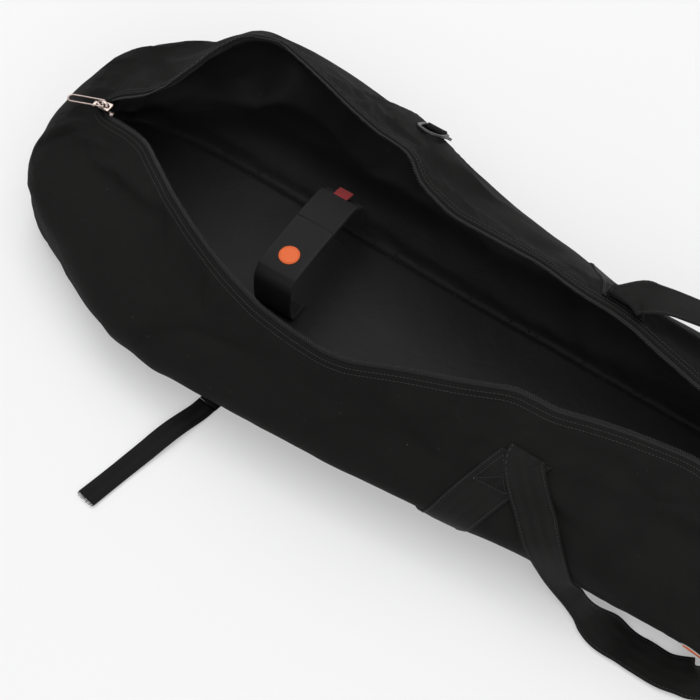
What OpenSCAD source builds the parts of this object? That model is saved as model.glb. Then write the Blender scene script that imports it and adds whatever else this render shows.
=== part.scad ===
// Long padded bag for skis or a snowboard, shown unzipped with both side walls
// folded outward. X runs along the bag (tip at -X), the near side is -Y, the far
// side is +Y and +Z is up. The origin is the centre of the base panel's
// underside. Lengths are in millimetres.

/* [Bag body] */
// Overall length of the bag
bag_l = 1760; // [1720:5:1800]
// Height of the closed bag at the zip line
bag_h = 125; // [121:1:129]
// Half width of the closed near side across the middle
near_half_w = 160; // [156:1:162]
// Half width of the closed far side across the middle
far_half_w = 162; // [158:1:164]
// Thickness of the padded outer fabric
shell_t = 3; // [2:0.25:3.5]
// Thickness of the lining fabric
lining_t = 1; // [0.6:0.1:1.2]

/* [Opening] */
// Angle by which the tip part of the near wall is folded open
near_tip_a = 48; // [44:1:50]
// Angle by which the tip part of the far wall is folded open
far_tip_a = 38; // [34:1:44]
// Angle by which the middle of the near wall is folded open
near_mid_a = 28; // [26:1:30]
// Angle by which the middle of the far wall is folded open
far_mid_a = 23; // [21:1:25]

/* [Zip] */
// Distance of the parked slider from the middle of the bag
zip_half = 790; // [785:1:792]
// Diameter of the zip coil
coil_d = 3.2; // [2.6:0.1:3.4]
// Length of the slider body
slider_l = 18; // [14:1:20]
// Length of the wire pull
pull_l = 42; // [34:1:46]
// Turn of the pull away from the zip line
pull_turn = 21; // [0:1:25]

/* [Carry handles] */
// Width of the handle webbing
handle_w = 50; // [40:1:52]
// Distance of each handle anchor from the middle of the bag
handle_x = 173; // [165:1:180]
// Thickness of the webbing
web_t = 1.6; // [1.2:0.1:2]

/* [Rings and straps] */
// Inside width of the D-rings
ring_in = 27; // [26:0.5:28]
// Wire diameter of the D-rings
ring_d = 4; // [3.4:0.1:4.2]
// Distance of each D-ring from the middle of the bag
ring_x = 469; // [459:5:489]
// Width of the strap that holds the load
inner_w = 50; // [40:1:54]
// Position of that strap along the bag
inner_x = -524; // [-540:1:-510]
// Width of the loose lash strap
lash_w = 25; // [20:1:25]

/* [Hidden] */
half_l = bag_l / 2;
mid_z = bag_h / 2;
section_power = 3.2;      // power of the rounded box section

// Fold lines of the side walls
hinge_z = 6;
near_hinge_y = -128;
far_hinge_y = 146;

// Where the parts of the side walls start and stop along X
tip_x = -745;             // end panel meets the tip parts
split_x = -330;           // tip and middle parts meet
tail_x = -tip_x;          // end panel meets the middle parts
gap = 3;                  // each part stops this far short
tip_span = [tip_x + gap, split_x - gap];
mid_span = [split_x + gap, tail_x - gap];

// ---- shape of the closed bag ----------------------------------------------

// Columns: x, share of the half width across the middle
near_profile = [[tip_x, 0.93], [-600, 0.985], [-450, 0.97], [-300, 1], [0, 1],
    [400, 0.985], [tail_x, 0.9]];
far_profile = [[tip_x, 1.04], [-650, 1.09], [-560, 1.09], [-450, 1.05],
    [-300, 1.02], [0, 1], [400, 0.98], [tail_x, 0.9]];

function near_half(x) = near_half_w * lookup(x, near_profile);
function far_half(x) = far_half_w * lookup(x, far_profile);

// Power that gives 0 for a base at or just below 0
function safe_pow(base, power) = base <= 0 ? 0 : pow(base, power);

// Rounded rise from 0 to 1 as u, the distance inside the end, goes from 0 to length
function rise(u, length, power) =
    safe_pow(1 - safe_pow(1 - min(u, length) / length, power), 1 / power);

// Half widths with the rounded ends taken into account
near_round_l = 190;
far_round_l = 150;
round_power = 2.3;
function near_edge(x) = near_half(x) * rise(half_l - abs(x), near_round_l, round_power);
function far_edge(x) = far_half(x) * rise(half_l - abs(x), far_round_l, round_power);

// Height of the rounded end at a distance u inside the end
end_low = 0.62;           // share of the bag's height at the very end
function end_height(u) = bag_h * (end_low + (1 - end_low) * rise(u, 62, 2.2));

function box_round(v) = sign(v) * safe_pow(abs(v), 2 / section_power);

// [y, z] on the rounded box section at an angle, moved outward by grow.
// The half width is kept above zero for the very end of the bag.
function section_pt(half_w, height, angle, grow) = [
    max(half_w + grow, 0.5) * box_round(cos(angle)),
    height / 2 + (height / 2 + grow) * box_round(sin(angle))];

// ---- shared builders ------------------------------------------------------

function reversed(list) = [for (i = [len(list) - 1:-1:0]) list[i]];
function unit(v) = v / norm(v);
function quad(a, b, c, d, flip = false) =
    flip ? [[a, d, c], [a, c, b]] : [[a, b, c], [a, c, d]];

// Thin solid between two grids of points, given as rows of equal length;
// flip turns the faces round
module sheet(outer, inner, flip = false) {
    rows = len(outer);
    cols = len(outer[0]);
    last = cols - 1;
    function out(k, j) = k * 2 * cols + j;
    function in(k, j) = out(k, j) + cols;
    faces = concat(
        [for (k = [0:rows - 2]) for (j = [0:cols - 2])
            each quad(out(k, j), out(k, j + 1), out(k + 1, j + 1), out(k + 1, j), flip)],
        [for (k = [0:rows - 2]) for (j = [0:cols - 2])
            each quad(in(k, j), in(k + 1, j), in(k + 1, j + 1), in(k, j + 1), flip)],
        [for (k = [0:rows - 2])
            each quad(out(k, 0), out(k + 1, 0), in(k + 1, 0), in(k, 0), flip)],
        [for (k = [0:rows - 2])
            each quad(out(k, last), in(k, last), in(k + 1, last), out(k + 1, last), flip)],
        [for (j = [0:cols - 2])
            each quad(out(0, j), in(0, j), in(0, j + 1), out(0, j + 1), flip)],
        [for (j = [0:cols - 2]) let (k = rows - 1)
            each quad(out(k, j), out(k, j + 1), in(k, j + 1), in(k, j), flip)]);
    points = [for (k = [0:rows - 1]) each concat(outer[k], inner[k])];
    polyhedron(points, faces, convexity = 6);
}

// Flat webbing swept through a path, with its width direction at each point
module webbing(path, across, width, thick) {
    last = len(path) - 1;
    along = [for (i = [0:last]) unit(path[min(i + 1, last)] - path[max(i - 1, 0)])];
    side = [for (i = [0:last]) unit(across[i] - (across[i] * along[i]) * along[i])];
    points = [for (i = [0:last])
        let (half_side = side[i] * width / 2,
             half_up = cross(along[i], side[i]) * thick / 2)
        each [
            path[i] - half_side - half_up,
            path[i] + half_side - half_up,
            path[i] + half_side + half_up,
            path[i] - half_side + half_up]];
    // The j == 2 side is split along its other diagonal
    faces = concat([[0, 2, 1], [0, 3, 2]],
        [for (i = [0:last - 1]) for (j = [0:3])
            let (a = 4 * i + j, b = 4 * i + (j + 1) % 4)
            each (j == 2 ? [[a, b, a + 4], [b, b + 4, a + 4]]
                         : [[a, b, b + 4], [a, b + 4, a + 4]])],
        quad(4 * last, 4 * last + 1, 4 * last + 2, 4 * last + 3));
    polyhedron(points, faces, convexity = 6);
}

// The same width direction at every point of a path
function constant(path, direction) = [for (p = path) direction];

// Turn a piece drawn on the closed bag out to where it rests when open
module fold(hinge_y, angle) translate([0, hinge_y, hinge_z]) rotate([angle, 0, 0])
    translate([0, -hinge_y, -hinge_z]) children();
module near_open(angle) fold(near_hinge_y, angle) children();
module far_open(angle) fold(far_hinge_y, -angle) children();

// Near pieces drawn on the +Y side
module near_mirrored(angle) near_open(angle) mirror([0, 1, 0]) children();

// ---- base -----------------------------------------------------------------

base_t = 3;
base_share = 0.87;        // base panel width as a share of the bag's
base_far_share = 1.03;    // extra share on the far side
base_lining_share = 0.8;
base_lining_t = 2.4;
base_lining_gap = 0.3;
base_lining_end = 14;     // lining stops this far inside each end

base_end_us = [0.5, 4, 10, 18, 30, 45, 65, 90, 120, 150, 190];
base_xs = concat([for (u = base_end_us) u - half_l],
    [-600, -450, -300, 0, 300, 500],
    [for (u = reversed(base_end_us)) half_l - u]);

module base_outline(share) {
    polygon(concat(
        [for (x = base_xs) [x, -share * near_edge(x)]],
        [for (x = reversed(base_xs)) [x, share * base_far_share * far_edge(x)]]));
}

module base_panel() color("#262626") linear_extrude(base_t) base_outline(base_share);

module base_lining() color("#1c1c1c") translate([0, 0, base_t + base_lining_gap])
    linear_extrude(base_lining_t) intersection() {
        base_outline(base_lining_share);
        square([2 * (half_l - base_lining_end), 400], center = true);
    }

// ---- ends -----------------------------------------------------------------

// Angles round the section, from the far lower edge over the top to the near one
end_angles = [-40, -24, -8, 8, 24, 38, 50, 61, 71, 80, 86, 90,
    94, 100, 109, 119, 130, 142, 156, 172, 188, 204, 220];
end_l = half_l - tail_x;
// Distances inside the end
end_us = [0, 1.5, 5, 11, 20, 32, 46, 62, 82, 106, end_l];

slot_x = 700;             // slot for the zip starts here, inside the open side
slot_w = 7;
slot_past_zip = 11;

// The innermost row is not moved along X, so the sheet ends flat
function end_row(u, inset) = [for (angle = end_angles)
    let (x = half_l - u,
         half_w = angle <= 90 ? far_edge(x) : near_edge(x),
         yz = section_pt(half_w, end_height(u), angle, -inset))
    [x - (u >= end_l ? 0 : inset), yz[0], yz[1]]];

// Rounded closed end of the bag as one curved sheet, drawn for the tail
module end_shell() difference() {
    sheet([for (u = end_us) end_row(u, 0)], [for (u = end_us) end_row(u, shell_t)],
        flip = true);
    translate([slot_x, -slot_w / 2, bag_h - 20])
        cube([zip_half + slot_past_zip - slot_x, slot_w, 60]);
}

module tail_end_panel() color("#242424") end_shell();
module tip_end_panel() color("#242424") mirror([1, 0, 0]) end_shell();

stop_size = [3.5, 8, 2];
stop_past_zip = 12.5;
module zip_stop() translate([zip_half + stop_past_zip, -stop_size[1] / 2, bag_h + 0.4])
    cube(stop_size);
module tip_zip_stop() color("#8a8582") mirror([1, 0, 0]) zip_stop();
module tail_zip_stop() color("#8a8582") zip_stop();

// ---- side walls -----------------------------------------------------------

// Angles round the section, from the lower edge to the rim at the zip
wall_angles = [-26, -12, 2, 16, 30, 42, 52, 61, 69, 76, 82, 86.5, 90];
rim_y = 5;                // the rim stops this far from the zip line

tip_xs = concat([for (x = [tip_span[0]:41:tip_span[1]]) x], [tip_span[1]]);
mid_xs = concat([mid_span[0]], [for (x = [-260:130:600]) x], [mid_span[1]]);

// Growth of the outer and inner faces from the closed section
lining_top = -shell_t - 0.4;
panel_faces = [0, -shell_t];
lining_faces = [lining_top, lining_top - lining_t];

function wall_row(x, half_w, grow) = [for (angle = wall_angles)
    let (yz = section_pt(half_w, bag_h, angle, grow))
    [x, angle == 90 ? rim_y : yz[0], yz[1]]];

// Wall on the +Y side through stations xs, with the half width at each
module wall(xs, half_ws, face_grow) {
    function rows(grow) = [for (k = [0:len(xs) - 1]) wall_row(xs[k], half_ws[k], grow)];
    sheet(rows(face_grow[0]), rows(face_grow[1]));
}
module near_wall(xs, angle, face_grow)
    near_mirrored(angle) wall(xs, [for (x = xs) near_half(x)], face_grow);
module far_wall(xs, angle, face_grow)
    far_open(angle) wall(xs, [for (x = xs) far_half(x)], face_grow);

module near_tip_panel() color("#282828") near_wall(tip_xs, near_tip_a, panel_faces);
module far_tip_panel() color("#2a2a2a") far_wall(tip_xs, far_tip_a, panel_faces);
module near_mid_panel() color("#262626") near_wall(mid_xs, near_mid_a, panel_faces);
module far_mid_panel() color("#2c2c2c") far_wall(mid_xs, far_mid_a, panel_faces);

module near_tip_lining() color("#181818") near_wall(tip_xs, near_tip_a, lining_faces);
module far_tip_lining() color("#181818") far_wall(tip_xs, far_tip_a, lining_faces);
module near_mid_lining() color("#181818") near_wall(mid_xs, near_mid_a, lining_faces);
module far_mid_lining() color("#181818") far_wall(mid_xs, far_mid_a, lining_faces);

// ---- zip ------------------------------------------------------------------

tape_y = 3.4;
tape_w = 13;
tape_t = 0.8;
tape_lift = 0.35;
coil_y = 1.1;             // edge of the coil nearest the zip line

// Half a zip on the +Y side: woven tape with a coil along its inner edge
module half_zip(span) {
    length = span[1] - span[0];
    translate([span[0], tape_y, bag_h + tape_lift]) cube([length, tape_w, tape_t]);
    translate([span[0], coil_y + coil_d / 2, bag_h]) rotate([0, 90, 0])
        cylinder(d = coil_d, h = length, $fn = 24);
}
module near_tip_zip() color("#111111") near_mirrored(near_tip_a) half_zip(tip_span);
module near_mid_zip() color("#111111") near_mirrored(near_mid_a) half_zip(mid_span);
module far_tip_zip() color("#111111") far_open(far_tip_a) half_zip(tip_span);
module far_mid_zip() color("#111111") far_open(far_mid_a) half_zip(mid_span);

// Block centred on the zip line, with its underside at a height above bag_h
module slider_block(size, above, x = 0)
    translate([x - size[0] / 2, -size[1] / 2, bag_h + above]) cube(size);

module zip_slider() color("#b5a39c") translate([-zip_half, 0, 0]) {
    // Lower plate, neck and upper plate
    slider_block([slider_l, 11, 1.8], above = -6);
    slider_block([slider_l - 4, 1.2, 14.5], above = -5);
    slider_block([slider_l, 12, 2], above = 8.4);
    // Bridge over the pull: two posts and a bar
    for (side = [-1, 1]) slider_block([2, 3, 4.6], above = 10, x = side * 5.5);
    slider_block([13, 3, 1.4], above = 13.8);
}

pull_z = bag_h + 12.2;
pull_r = 0.9;             // radius of the wire
pull_half_w = 4.6;        // to the centre of the wire

// Wire loop: cross bar at the slider, two legs and a round end
module zip_pull() color("#c0aca4") translate([-zip_half, 0, pull_z]) rotate([0, 0, pull_turn]) {
    leg_l = pull_l - pull_half_w;
    translate([0, -pull_half_w, 0]) rotate([-90, 0, 0])
        cylinder(r = pull_r, h = 2 * pull_half_w, $fn = 24);
    for (side = [-1, 1]) {
        translate([-leg_l, side * pull_half_w, 0]) rotate([0, 90, 0])
            cylinder(r = pull_r, h = leg_l, $fn = 24);
        translate([0, side * pull_half_w, 0]) sphere(r = pull_r, $fn = 24);
    }
    translate([-leg_l, 0, 0]) rotate([0, 0, 90]) rotate_extrude(angle = 180, $fn = 48)
        translate([pull_half_w, 0]) circle(r = pull_r, $fn = 24);
}

// ---- carry handles --------------------------------------------------------

band_low_a = -22;         // section angle at the lower end of each band
band_lift = 1.2;          // space between wall and band
band_steps = 11;

// Band up the closed +Y wall; its lower end is shifted by -slant along X
module band(x, half_w, slant, top_a) {
    path = [for (i = [0:band_steps])
        let (share = i / band_steps,
             angle = band_low_a + (top_a - band_low_a) * share,
             yz = section_pt(half_w, bag_h, angle, band_lift + web_t / 2))
        [x - slant * (1 - share), yz[0], yz[1]]];
    webbing(path, constant(path, [1, 0, 0]), handle_w, web_t);
}
module near_handle_bands() color("#1d1d1d") near_mirrored(near_mid_a)
    for (side = [-1, 1])
        band(side * handle_x, near_half(side * handle_x), slant = -side * 38, top_a = 78);
module far_handle_bands() color("#1d1d1d") far_open(far_mid_a)
    for (side = [-1, 1])
        band(side * handle_x, far_half(side * handle_x), slant = -side * 10, top_a = 84);

// Half of each handle, from the -X anchor to the middle of the bag.
// Columns: point, width direction
near_handle_half = [
    [[-handle_x, -125, 148.5], [1, 0, 0]],
    [[-handle_x, -145, 144.5], [1, 0, 0]],
    [[-170, -168, 130], [1, 0, 0]],
    [[-162, -190, 106], [1, -0.05, 0]],
    [[-148, -204, 70], [1, -0.15, 0.1]],
    [[-131, -209, 38], [1, -0.5, 0.2]],
    [[-106, -205, 14], [0.7, -0.8, 0.1]],
    [[-76, -195, 4.5], [0.2, -1, 0]],
    [[-40, -189, 2.4], [0, -1, 0]],
    [[0, -188, 2.2], [0, -1, 0]]];
far_handle_half = [
    [[-handle_x, 94, 167.2], [1, 0, 0]],
    [[-handle_x, 94.4, 172.5], [1, 0, 0]],
    [[-handle_x + 3, 96, 179], [1, 0.05, -0.05]],
    [[-156, 100, 183.5], [0.92, 0.3, -0.3]],
    [[-126, 107.5, 184.5], [0.6, 0.55, -0.55]],
    [[-95, 117, 181], [0.25, 0.75, -0.6]],
    [[-50, 133, 174], [0.08, 0.8, -0.6]],
    [[0, 141.5, 169], [0, 0.8, -0.6]]];

// A list followed by its mirror image in X, sharing the last entry
function mirrored(list) = concat(list,
    [for (i = [len(list) - 2:-1:0]) [-list[i][0], list[i][1], list[i][2]]]);

module handle(half, width)
    webbing(mirrored([for (row = half) row[0]]), mirrored([for (row = half) row[1]]),
        width, web_t);

module near_handle() color("#202020") handle(near_handle_half, handle_w - 4);
module far_handle() color("#202020") handle(far_handle_half, handle_w - 6);

// ---- D-rings --------------------------------------------------------------

ring_r = ring_in / 2 + ring_d / 2;    // to the centre of the wire
ring_y = 107;
ring_leg_l = 14;
ring_tilt = 5;
ring_lift = 2.1;          // space between the wall and the wire
tab_w = 25;
tab_run = 26;             // the tab takes its slope from the wall over this distance

// Height of the closed far wall's top at a distance y from the zip line
function top_z(x, y) = mid_z
    + mid_z * safe_pow(1 - safe_pow(y / far_half(x), section_power), 1 / section_power);
function ring_z(x) = top_z(x, ring_y) + ring_d / 2 + ring_lift;

// The ring lies flat towards the mouth, with its straight bar in the tab
module d_ring(x) translate([x, ring_y, ring_z(x)]) rotate([-ring_tilt, 0, 0]) {
    rotate([0, 90, 0]) cylinder(d = ring_d, h = 2 * ring_r, center = true, $fn = 32);
    for (side = [-1, 1]) translate([side * ring_r, 0, 0]) {
        sphere(d = ring_d, $fn = 32);
        rotate([90, 0, 0]) cylinder(d = ring_d, h = ring_leg_l, $fn = 32);
    }
    translate([0, -ring_leg_l, 0]) rotate([0, 0, 180]) rotate_extrude(angle = 180, $fn = 64)
        translate([ring_r, 0]) circle(d = ring_d, $fn = 32);
}

// Sleeve round the bar with a flat tail running down the wall
module ring_tab(x) {
    slope = atan((top_z(x, ring_y) - top_z(x, ring_y + tab_run)) / tab_run) + 0.5;
    translate([x - tab_w / 2, ring_y, ring_z(x)]) rotate([0, 90, 0])
        linear_extrude(tab_w) difference() {
            union() {
                circle(r = ring_d / 2 + 1.3, $fn = 32);
                rotate([0, 0, slope]) translate([0.9, 1]) square([2.4, 24]);
            }
            circle(r = ring_d / 2 + 0.08, $fn = 32);
        }
}
module tip_ring_tab() color("#161616") far_open(far_tip_a) ring_tab(-ring_x);
module tip_d_ring() color("#0e0e0e") far_open(far_tip_a) d_ring(-ring_x);
module tail_ring_tab() color("#161616") far_open(far_mid_a) ring_tab(ring_x);
module tail_d_ring() color("#0e0e0e") far_open(far_mid_a) d_ring(ring_x);

// ---- strap that holds the load --------------------------------------------

inner_t = 1.6;
pull_tab = [18, 13, inner_t];

// Paths across the bag. Columns: y, z
inner_far_path = [[70, 7.2], [88, 7.6], [95, 14], [97, 30], [96, 48],
    [90, 63], [76, 72], [52, 75.5], [28, 76], [0, 76]];
inner_near_path = [[-26, 7.2], [-44, 7.6], [-52, 14], [-55, 30], [-55, 48],
    [-53, 63], [-46, 73], [-36, 78.4], [6, 80.6], [30, 80.8]];
inner_end_path = [[32, 81], [48, 81], [64, 80.2], [78, 78]];

module cross_strap(path)
    webbing([for (yz = path) [inner_x, yz[0], yz[1]]], constant(path, [1, 0, 0]),
        inner_w, inner_t);

module inner_strap_far() color("#191919") cross_strap(inner_far_path);
module inner_strap_near() color("#1b1b1b") cross_strap(inner_near_path);
module inner_strap_end() color("#1b1b1b") cross_strap(inner_end_path);

// Tab at the far end of the strap, sloping down
module inner_strap_pull() color("#a32a2a")
    translate([inner_x, 79, 77.4]) rotate([-14, 0, 0])
        translate([-pull_tab[0] / 2, 0, -pull_tab[2] / 2]) cube(pull_tab);

// Round patch on top of the strap
module inner_strap_patch() color("#e8742a")
    translate([inner_x, -20, 80.15]) rotate([3, 0, 0]) cylinder(r = 12, h = 0.8, $fn = 64);

// ---- loose lash strap -----------------------------------------------------

lash_t = 1.4;
lash_root_path = [[-508, -141, 1.3], [-512, -165, 1.3], [-516, -188, 1.3]];
lash_root_across = [[1, 0, 0], [1, -0.15, 0], [1, -0.15, 0]];
lash_path = [[-516.4, -191, 1.5], [-521, -215, 3], [-528, -245, 6], [-535, -275, 3.6],
    [-542, -305, 1.4], [-548, -335, 1.4], [-553, -362, 2.2]];

module lash_strap_root() color("#1e1e1e")
    webbing(lash_root_path, lash_root_across, lash_w, lash_t);
module lash_strap() color("#1e1e1e")
    webbing(lash_path, constant(lash_path, [1, -0.22, 0]), lash_w, lash_t);

// ---- oval patch on the near wall ------------------------------------------

patch_x = 98;
patch_z = 52;
patch_r = [27, 19];       // half length and half height
patch_t = 1.2;
patch_off = 1.6;          // back of the patch stands this far off the half width

module side_patch() color("#e8742a") near_open(near_mid_a)
    translate([patch_x, -(near_half(patch_x) + patch_off), patch_z]) rotate([90, 0, 0])
        linear_extrude(patch_t)
            polygon([for (a = [0:7.5:352.5]) [patch_r[0] * cos(a), patch_r[1] * sin(a)]]);

base_panel();
base_lining();
tip_end_panel();
tail_end_panel();
tip_zip_stop();
tail_zip_stop();
near_tip_panel();
near_tip_lining();
near_tip_zip();
near_mid_panel();
near_mid_lining();
near_mid_zip();
far_tip_panel();
far_tip_lining();
far_tip_zip();
far_mid_panel();
far_mid_lining();
far_mid_zip();
zip_slider();
zip_pull();
near_handle_bands();
near_handle();
far_handle_bands();
far_handle();
tip_ring_tab();
tip_d_ring();
tail_ring_tab();
tail_d_ring();
inner_strap_far();
inner_strap_near();
inner_strap_end();
inner_strap_pull();
inner_strap_patch();
lash_strap_root();
lash_strap();
side_patch();
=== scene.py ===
"""A long padded bag lying open, with carry handles, D-rings, a zip and inner straps.

The bag lies along X with its tip at -X and its tail at +X, and its base rests on z = 0.
The near half is on the -Y side (side -1) and the far half on the +Y side (side 1).
Lengths are in millimetres and become metres when a mesh is made.
"""
import bpy, bmesh, math
import numpy as np
from collections import namedtuple
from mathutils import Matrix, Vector


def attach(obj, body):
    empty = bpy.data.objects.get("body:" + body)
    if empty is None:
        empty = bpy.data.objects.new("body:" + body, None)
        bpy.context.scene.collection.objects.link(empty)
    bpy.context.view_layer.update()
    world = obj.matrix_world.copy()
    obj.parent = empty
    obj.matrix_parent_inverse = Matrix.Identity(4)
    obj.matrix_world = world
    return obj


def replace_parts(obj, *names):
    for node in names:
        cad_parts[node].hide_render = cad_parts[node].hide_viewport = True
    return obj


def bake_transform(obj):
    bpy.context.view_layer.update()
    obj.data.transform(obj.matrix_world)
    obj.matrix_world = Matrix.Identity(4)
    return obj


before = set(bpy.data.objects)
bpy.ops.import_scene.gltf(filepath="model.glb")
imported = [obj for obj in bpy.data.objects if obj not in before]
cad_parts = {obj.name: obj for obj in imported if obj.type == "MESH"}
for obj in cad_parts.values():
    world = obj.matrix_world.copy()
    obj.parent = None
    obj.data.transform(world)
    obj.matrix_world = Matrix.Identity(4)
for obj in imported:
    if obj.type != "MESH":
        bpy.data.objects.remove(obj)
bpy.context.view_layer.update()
MM = 0.001

# ---------------------------------------------------------------------------
# shape of the bag
# ---------------------------------------------------------------------------
HEIGHT = 125.0
MID_Z = HEIGHT / 2
SECTION_POWER = 3.2                # exponent of the superellipse section
HALF = 880.0                       # half the length of the bag
APEX = 797.0                       # |x| where the zip opening ends
RIM = 8.0                          # half the gap between the closed zip edges
THICK = 2.6                        # padded fabric
LABEL = {-1: "near", 1: "far"}
HINGE = {-1: (-128.0, 6.0), 1: (146.0, 6.0)}       # y, z of the line each wall opens about
BODY_DEG = {-1: 48.0, 1: 38.0}     # opening angle at which a wall's blend share is 1

# x, opening angle in degrees
OPEN = {
    -1: [(-797, 0), (-745, 1.5), (-720, 6), (-688, 16), (-641, 28), (-594, 37), (-549, 44),
         (-516, 48), (-475, 52), (-430, 54), (-385, 55), (-356, 53.5), (-299, 45), (-245, 37.5),
         (-215, 32), (-198, 28.4), (-173, 28), (-148, 27.6), (-117, 23), (-71, 17.5), (-13, 12),
         (40, 15), (100, 23), (148, 27.6), (173, 28), (198, 28), (300, 26), (450, 23),
         (600, 17.5), (700, 10), (760, 3.5), (797, 0)],
    1: [(-880, 0), (-806, 0), (-797, 1.2), (-790, 4), (-772, 7.5), (-752, 11), (-734, 18),
        (-721, 27), (-711, 37.5), (-692, 47.5), (-652, 51.5), (-591, 46.5), (-537, 41.5),
        (-492, 38.3), (-469, 38), (-447, 37), (-422, 30), (-373, 25.5), (-256, 25.5),
        (-231, 24.2), (-198, 23.1), (-173, 23), (-141, 21.8), (-112, 19.5), (-46, 15), (0, 14),
        (60, 17), (120, 22), (148, 23), (198, 23), (300, 23), (430, 23), (505, 23), (600, 16),
        (700, 9), (760, 3.5), (797, 0)],
}
# x, half width before the ends are rounded off
WIDTH = {
    -1: [(-880, 161), (-745, 161), (-600, 164), (-450, 158), (-300, 160), (0, 160), (400, 157),
         (745, 144), (880, 144)],
    1: [(-880, 187), (-745, 185), (-650, 184), (-560, 178), (-450, 171), (-300, 165), (0, 162),
        (400, 159), (745, 146), (880, 146)],
}
END_ROUNDING = {-1: (196.0, 2.12), 1: (172.0, 1.95)}      # length, exponent
# x, how far the open padded side reaches, as y + 0.65 z outwards
REACH_SLOPE = 0.65
REACH = {
    -1: [(-760, 133), (-731, 142), (-688, 160), (-640, 175), (-587, 183), (-520, 183),
         (-463, 180), (-425, 178), (-387, 176), (-349, 174), (-313, 170), (-278, 166),
         (-242, 162), (-206, 161), (-171, 156), (-137, 152), (-49, 147), (-19, 147), (26, 143),
         (74, 144), (140, 152), (220, 158), (330, 166), (500, 181), (620, 236)],
    1: [(-797, 224), (-765, 240), (-746, 269), (-717, 287), (-678, 293), (-635, 293),
        (-590, 289), (-544, 281), (-502, 279), (-486, 269), (-466, 264), (-444, 255),
        (-402, 249), (-355, 238), (-311, 230), (-269, 224), (-213, 210), (-173, 208),
        (-114, 209), (0, 211), (100, 214), (200, 220), (330, 236), (450, 253), (620, 308)],
}
# y, shift along x of the tip end
TIP_SHIFT = [(-120, 9), (-85, 16), (-48, 25), (0, 25), (45, 21), (108, 9)]
# creases: points (x, distance down from the zip edge), depth, width, then fold()'s options
FOLDS = {
    -1: [([(-852, 78), (-833, 62), (-800, 39), (-765, 16), (-740, 4)], 4.2, 6.0, 0.3, 1.1),
         ([(-852, 64), (-826, 46), (-800, 28)], -2.2, 9.0),
         ([(-622, 172), (-610, 149), (-577, 112), (-544, 83), (-493, 60), (-427, 32)],
          4.8, 7.0, 0.22, 1.1),
         ([(-600, 182), (-560, 140), (-520, 104), (-460, 78)], -3.4, 15.0),
         ([(-646, 4), (-634, 27), (-626, 55)], 5.0, 8.0, 0.35),
         ([(-560, 3), (-552, 30), (-545, 66)], 4.2, 9.0, 0.35),
         ([(-700, 120), (-660, 96), (-600, 78)], 2.6, 16.0),
         ([(-400, 112), (-350, 76), (-300, 66), (-230, 82)], 3.6, 13.0),
         ([(-380, 30), (-330, 44), (-285, 70)], -2.4, 15.0),
         ([(-120, 60), (-60, 76), (10, 74), (70, 56)], 3.2, 15.0),
         ([(40, 90), (90, 110), (130, 150)], 3.0, 13.0),
         ([(230, 50), (290, 90), (330, 150)], 3.2, 14.0),
         ([(430, 40), (480, 80), (500, 140)], 3.0, 15.0),
         ([(620, 20), (660, 60), (650, 110)], 3.2, 12.0)],
    1: [([(-812, 120), (-790, 82), (-762, 40), (-738, 10)], 3.4, 9.0),
        ([(-770, 150), (-735, 110), (-716, 66)], -2.4, 14.0),
        ([(-700, 60), (-640, 84), (-590, 130)], 2.8, 16.0),
        ([(-560, 40), (-530, 80), (-540, 130)], 2.2, 14.0),
        ([(-410, 50), (-370, 86), (-360, 140)], 2.6, 14.0),
        ([(-300, 24), (-260, 60), (-240, 110)], 2.4, 13.0),
        ([(-80, 30), (-30, 60), (40, 64), (100, 44)], 2.8, 14.0),
        ([(230, 40), (270, 90), (260, 140)], 3.0, 14.0),
        ([(560, 30), (600, 70), (620, 130)], 3.0, 15.0)],
}
LINING_FOLDS = {
    -1: [([(-300, 60), (-230, 78), (-150, 96), (-60, 100)], 4.5, 9.0),
         ([(-640, 40), (-600, 90), (-590, 150)], 3.5, 12.0),
         ([(-480, 30), (-440, 80), (-430, 130)], 3.0, 11.0),
         ([(60, 25), (110, 70), (130, 120)], 3.0, 12.0),
         ([(330, 25), (360, 90), (420, 150)], 3.5, 13.0)],
    1: [([(-700, 30), (-660, 90), (-650, 160)], 3.5, 12.0),
        ([(-380, 25), (-350, 80), (-360, 150)], 4.0, 11.0),
        ([(-300, 30), (-270, 90), (-290, 160)], 3.5, 10.0),
        ([(-90, 25), (-60, 90), (-40, 150)], 3.5, 13.0),
        ([(240, 25), (260, 90), (230, 160)], 3.5, 13.0),
        ([(520, 25), (560, 90), (600, 150)], 3.0, 14.0)],
}
# spots of the closed wall kept smooth under sewn parts: x, |y|, z, radius
CALM = {
    -1: [(-154, 62, 124, 34), (154, 62, 124, 34)],
    1: [(-163, 30, 125, 34), (163, 30, 125, 34), (-469, 100, 120, 46), (469, 100, 120, 46)],
}
# grid: stations along x, closer together towards the ends, and columns round a section
END_STEPS = np.array([0.0, 0.6, 1.6, 3.2, 5.5, 8.5, 12, 16, 21, 27, 34, 42, 51, 61, 72])
STATIONS = np.unique(np.round(np.concatenate(
    [END_STEPS - HALF, np.linspace(-APEX, APEX, 268), HALF - END_STEPS]), 3))
COLUMNS = 62


def smoothstep(t):
    t = np.clip(t, 0, 1)
    return t * t * (3 - 2 * t)


def unit(v):
    return v / np.maximum(np.linalg.norm(v, axis=-1, keepdims=True), 1e-12)


def run_lengths(points):
    """Distance from the first point to each point along a polyline."""
    steps = np.linalg.norm(np.diff(points, axis=0), axis=1)
    return np.concatenate([[0], np.cumsum(steps)])


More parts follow.
